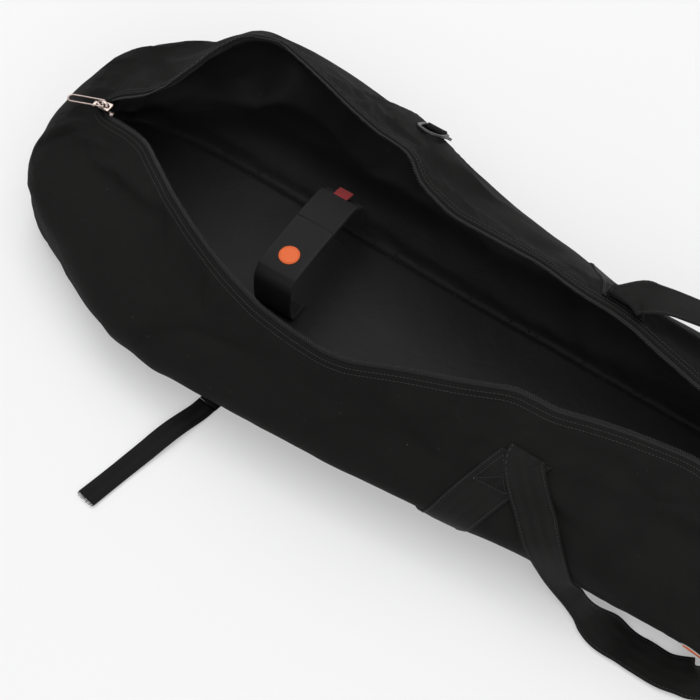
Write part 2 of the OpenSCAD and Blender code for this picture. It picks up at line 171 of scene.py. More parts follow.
def opening_degrees(side, x, step=9.0):
    """The OPEN table read with a little smoothing, so the open edge has no kinks."""
    table = np.array(OPEN[side], float)
    taps = [(-1.5, 0.1), (-1.0, 0.2), (-0.5, 0.25), (0.0, 0.3), (0.5, 0.25), (1.0, 0.2),
            (1.5, 0.1)]
    total = sum(weight * np.interp(x + shift * step, table[:, 0], table[:, 1])
                for shift, weight in taps)
    return total / sum(weight for _, weight in taps)


def rounded_end(x, length, power):
    """Share rising from 0 at the ends of the bag to 1 at length from them."""
    u = np.clip((HALF - np.abs(x)) / length, 0, 1)
    return (1 - (1 - u) ** power) ** (1 / power)


def half_width(side, x):
    return np.interp(x, *np.array(WIDTH[side], float).T) * rounded_end(x, *END_ROUNDING[side])


def section_height(x):
    return HEIGHT * (0.60 + 0.40 * rounded_end(x, 62.0, 2.2))


def rim_gap(x):
    """Half the gap between the zip edges, closing at the ends of the opening."""
    return RIM * smoothstep((APEX + 6 - np.abs(x)) / 22.0)


def value_noise(x, y, cell_x, cell_y, seed):
    """Smooth noise in -1..1 with cells of cell_x by cell_y."""
    grid = np.random.RandomState(seed).uniform(-1, 1, (64, 64))
    u, v = x / cell_x + 500.37, y / cell_y + 500.71
    iu, iv = np.floor(u).astype(int), np.floor(v).astype(int)
    fu, fv = u - iu, v - iv
    fu = fu * fu * fu * (fu * (fu * 6 - 15) + 10)
    fv = fv * fv * fv * (fv * (fv * 6 - 15) + 10)
    low = grid[iu % 64, iv % 64] * (1 - fu) + grid[(iu + 1) % 64, iv % 64] * fu
    high = grid[iu % 64, (iv + 1) % 64] * (1 - fu) + grid[(iu + 1) % 64, (iv + 1) % 64] * fu
    return low * (1 - fv) + high * fv


def fold(x, down, points, depth, width, taper=0.25, sharp=1.0):
    """A crease along a polyline of (x, down) points, fading out at both ends."""
    points = np.array(points, float)
    best = np.full(np.shape(x), 1e9)
    along = np.zeros(np.shape(x))
    run = run_lengths(points)
    for i in range(len(points) - 1):
        px, pd = points[i]
        dx, dd = points[i + 1] - points[i]
        t = np.clip(((x - px) * dx + (down - pd) * dd) / (dx * dx + dd * dd), 0, 1)
        dist = np.hypot(x - px - t * dx, down - pd - t * dd)
        hit = dist < best
        best = np.where(hit, dist, best)
        along = np.where(hit, (run[i] + t * (run[i + 1] - run[i])) / run[-1], along)
    fade = smoothstep(along / taper) * smoothstep((1 - along) / taper)
    return depth * fade * np.exp(-(np.abs(best / width) ** (2 / sharp)))


def section_angles(rim_share):
    """Angles round a section, spread evenly over its flat bottom and top too."""
    low = np.arccos(np.linspace(0, 0.6, 30) ** (SECTION_POWER / 2))
    high = np.arccos(np.linspace(0.6, rim_share, 36) ** (SECTION_POWER / 2))
    return np.concatenate([-low, np.linspace(-low[-1], high[0], 90)[1:-1], high])


def open_direction(v, side, angle):
    """A direction on the closed bag, turned with its wall opened by angle (radians)."""
    v = np.asarray(v, float)
    x, y, z = v[..., 0], v[..., 1], v[..., 2]
    cos, sin = np.cos(-side * angle), np.sin(-side * angle)
    return np.stack([x, y * cos - z * sin, y * sin + z * cos], -1)


def open_point(p, side, angle):
    hinge = np.array([0.0, *HINGE[side]])
    return hinge + open_direction(p - hinge, side, angle)


class Wall:
    """Grid of one half of the bag, from the base's centre line to the zip edge.

    angle is the section angle in degrees, down the distance from the zip edge and
    share how far a point follows the opening wall.
    """

    def __init__(self, side):
        self.side = side
        shape = (len(STATIONS), COLUMNS)
        self.angle, self.closed_y, self.closed_z = (np.zeros(shape) for _ in range(3))
        self.length = np.zeros(len(STATIONS))
        for i, x in enumerate(STATIONS):
            width = max(float(half_width(side, x)), 1.0)
            height = float(section_height(x))
            rim = min(rim_gap(x), 0.3 * width)
            fine = section_angles(rim / width)
            cos, sin = np.abs(np.cos(fine)), np.sin(fine)
            power = 2 / SECTION_POWER
            y = width * cos ** power
            z = height / 2 + height / 2 * np.sign(sin) * np.abs(sin) ** power
            y[0], y[-1] = 0.0, rim
            degrees = np.degrees(fine)
            degrees[-1] = 90.0
            run = run_lengths(np.stack([y, z], -1))
            even = np.linspace(0, run[-1], COLUMNS)
            self.closed_y[i] = np.interp(even, run, y)
            self.closed_z[i] = np.interp(even, run, z)
            self.angle[i] = np.interp(even, run, degrees)
            self.length[i] = run[-1]
        self.down = (1 - np.linspace(0, 1, COLUMNS))[None, :] * self.length[:, None]
        self.x = np.repeat(STATIONS[:, None], COLUMNS, 1)
        follow = smoothstep((self.angle + 66) / 40.0)
        opening = opening_degrees(side, STATIONS)[:, None] * follow
        self.share = opening / BODY_DEG[side]
        self.calm = np.ones(shape)
        for cx, cy, cz, radius in CALM[side]:
            near2 = (((self.x - cx) / radius) ** 2 + ((self.closed_y - cy) / radius) ** 2
                     + ((self.closed_z - cz) / radius) ** 2)
            self.calm *= 1 - np.exp(-near2 ** 1.5)
        closed = np.stack([self.x, self.closed_y * side, self.closed_z], -1)
        self.points = open_point(closed, side, np.radians(opening))
        lifted = self.points + self.find_normals() * self.relief()[..., None]
        self.set_points(self.slump(lifted))

    def relief(self):
        """Folds and sag of the fabric along the surface normal."""
        x, down, side = self.x, self.down, self.side
        d = 2.6 * value_noise(x, down, 190, 120, 11 + side)
        d += 1.5 * value_noise(x + 0.5 * down, down - 0.3 * x, 84, 60, 21 + side)
        d += 0.7 * value_noise(x - 0.6 * down, down + 0.4 * x, 38, 30, 31 + side)
        d += 0.35 * value_noise(x + down, down, 19, 24, 41 + side)
        for crease in FOLDS[side]:
            d -= fold(x, down, *crease)
        edge = smoothstep(down / 34.0) * 0.85 + 0.15
        base = smoothstep((self.angle + 88) / 34.0)
        ends = smoothstep((HALF - np.abs(x)) / 26.0)
        return d * edge * base * ends * (0.12 + 0.88 * self.calm)

    def slump(self, points):
        """The padded side gives way to its reach; its zip edge and base stay."""
        side = self.side
        softness = 7.0
        reach = np.interp(STATIONS, *np.array(REACH[side], float).T)
        ends = smoothstep((760 - np.abs(STATIONS)) / 30.0) * smoothstep((620 - STATIONS) / 120.0)
        out = side * (points[..., 1] + REACH_SLOPE * points[..., 2])
        free = smoothstep(self.down / 46.0) * smoothstep((self.angle + 84) / 40.0)
        soft = reach[:, None] - softness * np.logaddexp(0, (reach[:, None] - out) / softness)
        short = np.clip(reach - soft.max(1), 0, 30)
        outermost = smoothstep((out - out.max(1, keepdims=True) + 90) / 90.0)
        shift = ((soft - out) * smoothstep(self.down / 16.0)
                 + short[:, None] * outermost * free) * ends[:, None]
        kernel = np.exp(-np.linspace(-2, 2, 9) ** 2)
        kernel /= kernel.sum()
        shift = np.apply_along_axis(
            lambda c: np.convolve(np.pad(c, 4, mode="edge"), kernel, mode="valid"), 0, shift)
        points = points.copy()
        tip = smoothstep((-792 - points[..., 0]) / 78.0)
        points[..., 0] += tip * np.interp(points[..., 1], *np.array(TIP_SHIFT, float).T)
        norm = 1 + REACH_SLOPE ** 2
        points[..., 1] += side * shift / norm
        points[..., 2] += side * shift * REACH_SLOPE / norm
        return points

    def set_points(self, points):
        """Take new points, held above the floor, and find their normals."""
        z = points[..., 2]
        z = np.where(z < 3.0, 0.5 * (z + np.sqrt(z * z + 1.6)), z)
        points[..., 2] = np.where(self.angle < -84, np.maximum(z, 0.05), z)
        self.points = points
        self.normal = self.find_normals()
        rim = points[:, -1] - points[:, -3]
        self.rim_dir = rim / np.linalg.norm(rim, axis=1)[:, None]

    def find_normals(self):
        du = np.gradient(self.points, axis=0)
        dv = np.gradient(self.points, axis=1)
        n = np.cross(dv, du) * self.side
        size = np.linalg.norm(n, axis=-1, keepdims=True)
        bad = size[..., 0] < 1e-6
        n = n / np.maximum(size, 1e-9)
        n[bad] = np.sign(self.points[bad][:, :1]) * np.array([1.0, 0.0, 0.0])
        return n

    def row(self, x):
        return int(np.argmin(np.abs(STATIONS - x)))

    def down_at_top(self, x, y):
        """down of the closed top's point at sideways distance y."""
        i = self.row(x)
        k = self.angle[i] > 10
        return float(np.interp(-y, -self.closed_y[i][k], self.down[i][k]))

    def down_at_side(self, x, z):
        """down of the closed side's point at height z."""
        i = self.row(x)
        k = np.abs(self.angle[i]) < 50
        return float(np.interp(z, self.closed_z[i][k], self.down[i][k]))

    def down_at_angle(self, x, degrees):
        i = self.row(x)
        return float(np.interp(degrees, self.angle[i], self.down[i]))

    def sample(self, x, down, off):
        """Points lifted by off, normals and shares; a negative down is past the zip edge."""
        x, down = np.broadcast_arrays(np.asarray(x, float), np.asarray(down, float))
        i = np.clip(np.searchsorted(STATIONS, x) - 1, 0, len(STATIONS) - 2)
        f = np.clip((x - STATIONS[i]) / (STATIONS[i + 1] - STATIONS[i]), 0, 1)
        point, normal, share = 0, 0, 0
        for k, weight in ((i, 1 - f), (i + 1, f)):
            column = (1 - np.clip(down, 0, None) / self.length[k]) * (COLUMNS - 1)
            column = np.clip(column, 0, COLUMNS - 1)
            j = np.clip(np.floor(column).astype(int), 0, COLUMNS - 2)
            g = column - j

            def between(grid):
                part = g[..., None] if grid.ndim == 3 else g
                return grid[k, j] * (1 - part) + grid[k, j + 1] * part

            past = self.rim_dir[k] * np.maximum(-down, 0)[..., None]
            point = point + (between(self.points) + past) * weight[..., None]
            normal = normal + between(self.normal) * weight[..., None]
            share = share + between(self.share) * weight
        normal = normal / np.linalg.norm(normal, axis=-1, keepdims=True)
        point = point + normal * off
        point[..., 2] = np.maximum(point[..., 2], 0.15)
        return point, normal, share


near = Wall(-1)
far = Wall(1)
WALLS = {-1: near, 1: far}

# ---------------------------------------------------------------------------
# mesh helpers
# ---------------------------------------------------------------------------


def link_object(name, mesh):
    ob = bpy.data.objects.new(name, mesh)
    bpy.context.scene.collection.objects.link(ob)
    return ob


def new_mesh(name, verts, faces, uv, mat):
    """Smooth-shaded object from vertices and UVs in millimetres."""
    me = bpy.data.meshes.new(name)
    verts = np.asarray(verts, float).reshape(-1, 3)
    me.from_pydata((verts * MM).tolist(), [], [tuple(int(i) for i in f) for f in faces])
    me.validate(clean_customdata=False)
    layer = me.uv_layers.new(name="UVMap")
    idx = np.zeros(len(me.loops), np.int32)
    me.loops.foreach_get("vertex_index", idx)
    uv = np.asarray(uv, float).reshape(-1, 2)
    layer.data.foreach_set("uv", (uv[idx] * MM).astype(np.float32).ravel())
    me.polygons.foreach_set("use_smooth", np.ones(len(me.polygons), bool))
    me.update()
    ob = link_object(name, me)
    me.materials.append(mat)
    return ob


def fix_normals(ob):
    bm = bmesh.new()
    bm.from_mesh(ob.data)
    bmesh.ops.recalc_face_normals(bm, faces=bm.faces)
    bm.to_mesh(ob.data)
    bm.free()
    ob.data.update()


def solid(name, verts, faces, uv, mat):
    ob = new_mesh(name, verts, faces, uv, mat)
    fix_normals(ob)
    return ob


def grid_faces(n, m, flip=False, wrap=False, close=False):
    """Quads of n rows of m points; wrap joins the columns round, close the rows."""
    out = []
    for i in range(n if close else n - 1):
        for j in range(m if wrap else m - 1):
            a, b = i * m + j, i * m + (j + 1) % m
            c, d = (b + m) % (n * m), (a + m) % (n * m)
            out.append((a, d, c, b) if flip else (a, b, c, d))
    return out


def loft(name, verts, uv, mat):
    """Solid through a row of closed profiles; a cap joins point j with point k-1-j."""
    n, k, _ = verts.shape
    faces = grid_faces(n, k, wrap=True)
    for base in (0, (n - 1) * k):
        for j in range((k - 1) // 2):
            a, b, c, d = base + j, base + j + 1, base + k - 2 - j, base + k - 1 - j
            faces.append((a, b, d) if b == c else (a, b, c, d))
    return solid(name, verts, faces, uv, mat)


def set_blend(ob, weights):
    """Bake the object's transform into its mesh."""
    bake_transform(ob)
    weights = np.asarray(weights, np.float32).ravel()
    ob.data.update()


def follow_wall(ob, weights):
    set_blend(ob, weights)


def ride_slot(ob, body, slot, *replaced):
    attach(ob, body)
    if replaced:
        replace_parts(ob, *replaced)


def catmull(points, step):
    """Smooth curve through points; columns past the third are carried along."""
    p = np.array(points, float)
    ext = np.vstack([2 * p[0] - p[1], p, 2 * p[-1] - p[-2]])
    out = []
    for a, b, c, d in zip(ext, ext[1:], ext[2:], ext[3:]):
        n = max(2, int(np.linalg.norm(c[:3] - b[:3]) / step))
        for t in np.linspace(0, 1, n, endpoint=False):
            out.append(0.5 * (2 * b + (c - a) * t + (2 * a - 5 * b + 4 * c - d) * t * t
                              + (3 * b - a - 3 * c + d) * t ** 3))
    out.append(ext[-2])
    return np.array(out)


def ribbon_profile(width, thick, n=10):
    """Cross-section of a flat strap with rounded edges, as (across, up) points."""
    xs = np.linspace(-1, 1, n + 1)
    flat, half = width / 2 - thick / 2, width / 2
    edge = [(-half + thick * 0.15, thick * 0.32), (-half, 0),
            (-half + thick * 0.15, -thick * 0.32)]
    return np.array([(x * flat, thick / 2) for x in xs[::-1]] + edge
                    + [(x * flat, -thick / 2) for x in xs] + [(-x, -z) for x, z in edge])


# centre line of a ribbon: points, width direction, normal and running length
Line = namedtuple("Line", "points across normal run")


def ribbon(name, path, across, width, thick, mat, step, curl=None, columns=10):
    """Webbing swept along a path; across is its width direction at each path point."""
    both = catmull(np.hstack([np.array(path, float), np.array(across, float)]), step)
    p, a = both[:, :3], both[:, 3:]
    tangent = unit(np.gradient(p, axis=0))
    a = unit(a - (a * tangent).sum(1, keepdims=True) * tangent)
    normal = np.cross(tangent, a)
    prof = ribbon_profile(width, thick, columns)
    run = run_lengths(p)
    n, m = len(p), len(prof)
    up = prof[None, :, 1] + (curl(run[:, None], prof[None, :, 0]) if curl else 0)
    verts = (p[:, None] + a[:, None] * prof[None, :, 0, None]
             + normal[:, None] * np.broadcast_to(up, (n, m))[..., None])
    faces = grid_faces(n, m, flip=True, wrap=True)
    faces += [tuple(range(m)), tuple(range((n - 1) * m, n * m))[::-1]]
    uv = np.stack([np.repeat(run[:, None], m, 1),
                   np.repeat(prof[None, :, 0] + width / 2, n, 0)], -1)
    return solid(name, verts, faces, uv, mat), Line(p, a, normal, run)


def tube(name, path, radius, mat, sides=8, closed=False, flat=1.0):
    """A round or flattened wire along a path."""
    p = np.array(path, float)
    n = len(p)
    ahead = np.roll(p, -1, 0) - np.roll(p, 1, 0) if closed else np.gradient(p, axis=0)
    tangent = unit(ahead)
    a = unit(np.cross(np.broadcast_to([0, 0, 1.0], p.shape), tangent))
    b = np.cross(tangent, a)
    turn = np.linspace(0, 2 * np.pi, sides, endpoint=False)
    verts = (p[:, None] + a[:, None] * (radius * np.cos(turn))[None, :, None]
             + b[:, None] * (radius * flat * np.sin(turn))[None, :, None])
    faces = grid_faces(n, sides, wrap=True, close=closed)
    if not closed:
        faces += [tuple(range(sides))[::-1], tuple(range((n - 1) * sides, n * sides))]
    uv = np.stack([np.repeat(run_lengths(p)[:, None], sides, 1),
                   np.repeat((turn * radius)[None], n, 0)], -1)
    return solid(name, verts, faces, uv, mat)


def join(name, parts, mat):
    """One object from several of the same material."""
    bm = bmesh.new()
    for part in parts:
        bm.from_mesh(part.data)
    me = bpy.data.meshes.new(name)
    bm.to_mesh(me)
    bm.free()
    me.materials.append(mat)
    ob = link_object(name, me)
    for part in parts:
        bpy.data.objects.remove(part)
    return ob


def smooth_loop(values, passes, weight=2):
    for _ in range(passes):
        values = (np.roll(values, 1, 0) + weight * values + np.roll(values, -1, 0)) / (weight + 2)
    return values

# ---------------------------------------------------------------------------
# materials
# ---------------------------------------------------------------------------


class Shader:
    """Short forms for building a material's nodes."""

    def __init__(self, name):
        self.mat = bpy.data.materials.new(name)
        self.mat.use_nodes = True
        self.tree = self.mat.node_tree
        self.inputs = self.tree.nodes["Principled BSDF"].inputs

    def node(self, kind, **settings):
        node = self.tree.nodes.new(kind)
        for key, value in settings.items():
            setattr(node, key, value)
        return node

    def put(self, socket, value):
        """Link a socket, or set a number or an (r, g, b) colour."""
        if isinstance(value, bpy.types.NodeSocket):
            self.tree.links.new(value, socket)
        else:
            socket.default_value = (*value, 1) if isinstance(value, tuple) else value

    def math(self, op, a, b=0.0, c=None):
        node = self.node("ShaderNodeMath", operation=op)
        self.put(node.inputs[0], a)
        self.put(node.inputs[1], b)
        if c is not None:
            self.put(node.inputs[2], c)
        return node.outputs[0]

    def add(self, a, b):
        return self.math("ADD", a, b)

    def sub(self, a, b):
        return self.math("SUBTRACT", a, b)

    def mul(self, a, b):
        return self.math("MULTIPLY", a, b)

    def sine(self, a):
        return self.math("SINE", a)

    def weighted(self, *terms):
        """Sum of (socket, weight) terms."""
        total = None
        for value, weight in terms:
            term = self.mul(value, weight)
            total = term if total is None else self.add(total, term)
        return total

    def noise(self, vector, scale, detail=2.0, rough=0.5, distortion=0.0):
        node = self.node("ShaderNodeTexNoise")
        self.put(node.inputs["Vector"], vector)
        node.inputs["Scale"].default_value = scale
        node.inputs["Detail"].default_value = detail
        node.inputs["Roughness"].default_value = rough
        node.inputs["Distortion"].default_value = distortion
        return node.outputs["Fac"]

    def ramp(self, fac, low, high):
        """Black up to low, white from high."""
        node = self.node("ShaderNodeValToRGB")
        for stop, place, grey in zip(node.color_ramp.elements, (low, high), (0.0, 1.0)):
            stop.position = place
            stop.color = (grey, grey, grey, 1)
        self.put(node.inputs[0], fac)
        return node.outputs[0]

    def mix(self, fac, a, b):
        node = self.node("ShaderNodeMix", data_type="RGBA", blend_type="MIX")
        for i, value in ((0, fac), (6, a), (7, b)):
            self.put(node.inputs[i], value)
        return node.outputs[2]

    def bump(self, height, strength, distance, normal=None):
        """Bump with its distance in millimetres, on top of an earlier normal."""
        node = self.node("ShaderNodeBump")
        node.inputs["Strength"].default_value = strength
        node.inputs["Distance"].default_value = distance * MM
        self.put(node.inputs["Height"], height)
        if normal is not None:
            self.put(node.inputs["Normal"], normal)
        return node.outputs[0]

    def object_coords(self):
        return self.node("ShaderNodeTexCoord").outputs["Object"]

    def coords(self):
        """u, v, the UV vector and the object vector."""
        node = self.node("ShaderNodeTexCoord")
        split = self.node("ShaderNodeSeparateXYZ")
        self.put(split.inputs[0], node.outputs["UV"])
        return split.outputs[0], split.outputs[1], node.outputs["UV"], node.outputs["Object"]

    def finish(self, color, rough, spec, sheen=0.0, sheen_rough=0.4, metallic=0.0, normal=None):
        self.put(self.inputs["Base Color"], color)
        self.put(self.inputs["Roughness"], rough)
        self.inputs["Specular IOR Level"].default_value = spec
        self.inputs["Sheen Weight"].default_value = sheen
        self.inputs["Sheen Roughness"].default_value = sheen_rough
        self.inputs["Metallic"].default_value = metallic
        if normal is not None:
            self.put(self.inputs["Normal"], normal)
        return self.mat


def waves(pitch):
    """Radians per metre of a pattern repeating every pitch millimetres."""
    return 2 * math.pi / (pitch * MM)


def woven(name, dark, light, pitch, depth, rough, sheen, spec=0.4, crease=0.0, twill=False,
          lint=0.0):
    """Woven cloth: crossing yarns, uneven yarn shade, broad wear and faint dust."""
    s = Shader(name)
    u, v, uv, obj = s.coords()
    wobble = s.noise(uv, scale=260.0)
    warp = s.add(s.mul(u, waves(pitch)), s.mul(wobble, 0.9))
    weft = s.mul(v, waves(pitch))
    if twill:
        minor = s.mul(s.sine(s.mul(s.sub(warp, weft), 0.5)), 0.35)
        weave = s.add(s.sine(s.add(warp, weft)), minor)
    else:
        weave = s.mul(s.sine(warp), s.sine(weft))
    yarn = s.math("MULTIPLY_ADD", weave, 0.5, 0.5)
    slub = s.noise(uv, scale=900.0, detail=3.0, rough=0.7)
    wear = s.noise(obj, scale=5.5, detail=5.0, rough=0.62)
    blotch = s.noise(obj, scale=23.0, detail=4.0, rough=0.6)
    shade = s.weighted((yarn, 0.30), (slub, 0.34), (wear, 0.36), (s.sub(blotch, 0.5), 0.22))
    color = s.mix(s.ramp(shade, low=0.30, high=0.72), dark, light)
    if lint > 0:
        speck = s.noise(obj, scale=330.0, detail=1.0, rough=0.5, distortion=0.6)
        mask = s.ramp(speck, low=0.775, high=0.80)
        color = s.mix(s.mul(mask, lint), color, (0.16, 0.155, 0.15))
    roughness = s.add(s.mul(s.sub(wear, 0.5), 0.25), rough)
    normal = s.bump(weave, strength=0.75, distance=depth)
    soft = s.noise(uv, scale=46.0, detail=4.0, rough=0.6)
    normal = s.bump(soft, strength=0.35, distance=1.1, normal=normal)
    if crease > 0:
        wrinkle = s.noise(uv, scale=17.0, detail=3.0, rough=0.55, distortion=1.1)
        ridge = s.math("ABSOLUTE", s.sub(wrinkle, 0.5))
        normal = s.bump(s.ramp(ridge, low=0.0, high=0.09), strength=crease, distance=0.5,
                        normal=normal)
    return s.finish(color, roughness, spec, sheen, sheen_rough=0.45, normal=normal)


def webbing(name, dark, light, sheen, spec=0.3, rib=1.7, width=50.0, chevron=True):
    """Flat webbing: ribs across, in a chevron or straight, with plain edges."""
    s = Shader(name)
    u, v, uv, obj = s.coords()
    along = s.add(u, s.math("PINGPONG", v, 6.2 * MM)) if chevron else u
    ribs = s.sine(s.mul(along, waves(rib)))
    cross = s.sine(s.mul(v, waves(1.25)))
    weave = s.add(ribs, s.mul(cross, 0.45))
    half = width / 2 * MM
    off_centre = s.math("ABSOLUTE", s.sub(v, half))
    edge = s.ramp(s.mul(off_centre, 1 / half), low=0.86, high=0.90)
    plain = s.mul(s.sine(s.mul(u, waves(1.1))), 0.7)
    weave = s.add(s.mul(weave, s.sub(1.0, edge)), s.mul(plain, edge))
    slub = s.noise(uv, scale=700.0, detail=3.0, rough=0.7)
    wear = s.noise(obj, scale=14.0, detail=5.0, rough=0.62)
    yarn = s.math("MULTIPLY_ADD", weave, 0.3, 0.5)
    shade = s.weighted((yarn, 0.42), (slub, 0.25), (wear, 0.33))
    color = s.mix(s.ramp(shade, low=0.28, high=0.74), dark, light)
    normal = s.bump(weave, strength=0.9, distance=0.16)
    soft = s.noise(uv, scale=60.0, detail=3.0)
    normal = s.bump(soft, strength=0.25, distance=0.6, normal=normal)
    return s.finish(color, 0.6, spec, sheen, normal=normal)


def plain(name, dark, light, rough, scale, spec=0.5, metallic=0.0, bump=0.2, depth=0.15,
          sheen=0.0, rough_range=0.15):
    """Mottled solid material with a fine grain."""
    s = Shader(name)
    obj = s.object_coords()
    mottle = s.noise(obj, scale=scale, detail=5.0, rough=0.62)
    grain = s.noise(obj, scale=scale * 11, detail=3.0, rough=0.6)
    shade = s.weighted((mottle, 0.65), (grain, 0.35))
    color = s.mix(s.ramp(shade, low=0.32, high=0.70), dark, light)
    roughness = s.add(rough, s.mul(s.sub(mottle, 0.5), rough_range))
    normal = s.bump(grain, strength=bump, distance=depth)
    return s.finish(color, roughness, spec, sheen, metallic=metallic, normal=normal)


OUTER = woven("outer_fabric", (0.0047, 0.0047, 0.0046), (0.0116, 0.0113, 0.0107), pitch=1.15,
              depth=0.13, rough=0.72, sheen=0.0, spec=0.07, crease=0.22, lint=0.22)
BASE = woven("base_fabric", (0.004, 0.004, 0.004), (0.009, 0.009, 0.0087), pitch=1.5,
             depth=0.16, rough=0.66, sheen=0.02, spec=0.16, crease=0.1)
LINING = woven("lining_fabric", (0.0056, 0.0056, 0.0060), (0.0128, 0.0128, 0.0134), pitch=0.9,
               depth=0.07, rough=0.52, sheen=0.04, spec=0.20, crease=0.30, lint=0.2)
WEB = webbing("webbing", (0.0032, 0.0032, 0.0030), (0.0086, 0.0085, 0.0079), sheen=0.0,
              spec=0.14)
WEB_NARROW = webbing("webbing_narrow", (0.0030, 0.0030, 0.0030), (0.0084, 0.0083, 0.008),
                     rib=1.4, width=25.0, sheen=0.0, spec=0.16)
STRAP = webbing("strap_fabric", (0.004, 0.004, 0.0043), (0.0105, 0.0105, 0.011), rib=1.3,
                chevron=False, sheen=0.05)
TAPE = woven("zip_tape", (0.0050, 0.0050, 0.0050), (0.0125, 0.0125, 0.0125), pitch=0.8,
             depth=0.09, rough=0.6, sheen=0.05, spec=0.2, twill=True)
COIL = plain("zip_coil", (0.007, 0.007, 0.007), (0.016, 0.016, 0.016), rough=0.36, scale=90.0,
             bump=0.1)
THREAD = plain("thread", (0.012, 0.012, 0.012), (0.028, 0.028, 0.027), rough=0.55, scale=300.0,
               spec=0.4, bump=0.5, depth=0.1, sheen=0.1)
METAL = plain("zip_metal", (0.26, 0.205, 0.185), (0.46, 0.38, 0.35), rough=0.30, scale=160.0,
              metallic=1.0, bump=0.15, depth=0.05)
PLASTIC = plain("ring_plastic", (0.0075, 0.0075, 0.0078), (0.014, 0.014, 0.0145), rough=0.34,
                scale=120.0, bump=0.25, depth=0.05, rough_range=0.25)
RED = woven("red_tape", (0.20, 0.010, 0.012), (0.36, 0.028, 0.030), pitch=0.9, depth=0.1,
            rough=0.6, sheen=0.2)
ORANGE = woven("orange_patch", (0.62, 0.085, 0.012), (0.84, 0.155, 0.025), pitch=0.8,
               depth=0.06, rough=0.5, sheen=0.1)
LIGHT_RIM = plain("patch_edge", (0.42, 0.42, 0.41), (0.60, 0.60, 0.59), rough=0.6, scale=300.0,
                  bump=0.4)

# ---------------------------------------------------------------------------
# cloth pass: the fabric grows a little between its seams and settles
# ---------------------------------------------------------------------------


def add_cloth(w, grow, frames):
    """Temporary cloth of a wall, pinned at its edges, base and calm spots."""
    me = bpy.data.meshes.new("settle")
    verts = (w.points.reshape(-1, 3) * MM).tolist()
    me.from_pydata(verts, [], grid_faces(len(STATIONS), COLUMNS))
    ob = link_object("settle", me)
    free = (smoothstep((w.down - 3) / 26.0) * smoothstep((w.angle + 80) / 22.0)
            * smoothstep((HALF - 8 - np.abs(w.x)) / 40.0) * w.calm)
    group = ob.vertex_groups.new(name="pin")
    pin = np.round(1 - free.ravel(), 1)
    for level in np.arange(1, 11) / 10.0:
        idx = np.where(np.abs(pin - level) < 0.01)[0]
        if len(idx):
            group.add(idx.tolist(), float(level), "REPLACE")
    cloth = ob.modifiers.new("Cloth", "CLOTH")
    st = cloth.settings
    st.quality = 5
    st.mass = 0.25
    st.tension_stiffness = 22
    st.compression_stiffness = 22
    st.shear_stiffness = 8
    st.bending_stiffness = 0.35
    st.air_damping = 2.0
    st.vertex_group_mass = "pin"
    st.pin_stiffness = 1.0
    st.shrink_min = -grow
    st.shrink_max = -grow
    st.effector_weights.gravity = 0.12
    cloth.collision_settings.use_collision = False
    cloth.collision_settings.use_self_collision = False
    cloth.point_cache.frame_start = 1
    cloth.point_cache.frame_end = frames
    return ob


def settle(walls, frames=16, grow=0.016, limit=8.0):
    """Run the cloth and move the walls with it, by less than limit."""
    scene = bpy.context.scene
    obs = [add_cloth(w, grow, frames) for w in walls]
    for f in range(1, frames + 1):
        scene.frame_set(f)
    depsgraph = bpy.context.evaluated_depsgraph_get()
    for w, ob in zip(walls, obs):
        me = ob.evaluated_get(depsgraph).data
        co = np.zeros(len(me.vertices) * 3)
        me.vertices.foreach_get("co", co)
        move = np.nan_to_num(co.reshape(w.points.shape) / MM - w.points)
        size = np.linalg.norm(move, axis=-1, keepdims=True)
        move = move * (limit * np.tanh(size / limit) / np.maximum(size, 1e-9))
        w.set_points(w.points + move)
    scene.frame_set(1)
    for ob in obs:
        bpy.data.objects.remove(ob)


settle([near, far])

# ---------------------------------------------------------------------------
# fabric shell and lining
# ---------------------------------------------------------------------------
# last column that stays still on both walls; the base sheets end here
BASE_COLUMN = min(int(np.max(np.where(w.share.max(0) < 1e-6)[0])) for w in (near, far))


def wall_sheet(name, w, high, low, mat, roll):
    """Sheet on a wall, up to the zip edge and back down; roll rounds it over the edge.

    high and low are the offsets of its two faces from the wall grid.
    """
    js = list(range(BASE_COLUMN, COLUMNS))
    top = w.points[:, js] + w.normal[:, js] * high[:, js, None]
    under = w.points[:, js] + w.normal[:, js] * low[:, js, None]
    arc = w.length[:, None] - w.down[:, js]
    share = w.share[:, js]
    verts, arcs, shares = [top], [arc], [share]
    if roll:
        radius = (high[:, -1] - low[:, -1]) / 2
        centre = w.points[:, -1] + w.normal[:, -1] * ((high[:, -1] + low[:, -1]) / 2)[:, None]
        for k, turn in enumerate(np.radians([35, 90, 145]), 1):
            verts.append(centre[:, None]
                         + w.normal[:, -1:] * (radius * np.cos(turn))[:, None, None]
                         + w.rim_dir[:, None] * (radius * np.sin(turn) * 0.9)[:, None, None])
            arcs.append(arc[:, -1:] + 1.2 * k)
            shares.append(share[:, -1:])
    verts = np.concatenate(verts + [under[:, ::-1]], 1)
    v = np.concatenate(arcs + [arc[:, ::-1]], 1) + (0.0 if w.side < 0 else 900.0)
    u = np.repeat(STATIONS[:, None], verts.shape[1], 1)
    ob = loft(name, verts, np.stack([u, v], -1), mat)
    follow_wall(ob, np.concatenate(shares + [share[:, ::-1]], 1))
    return ob


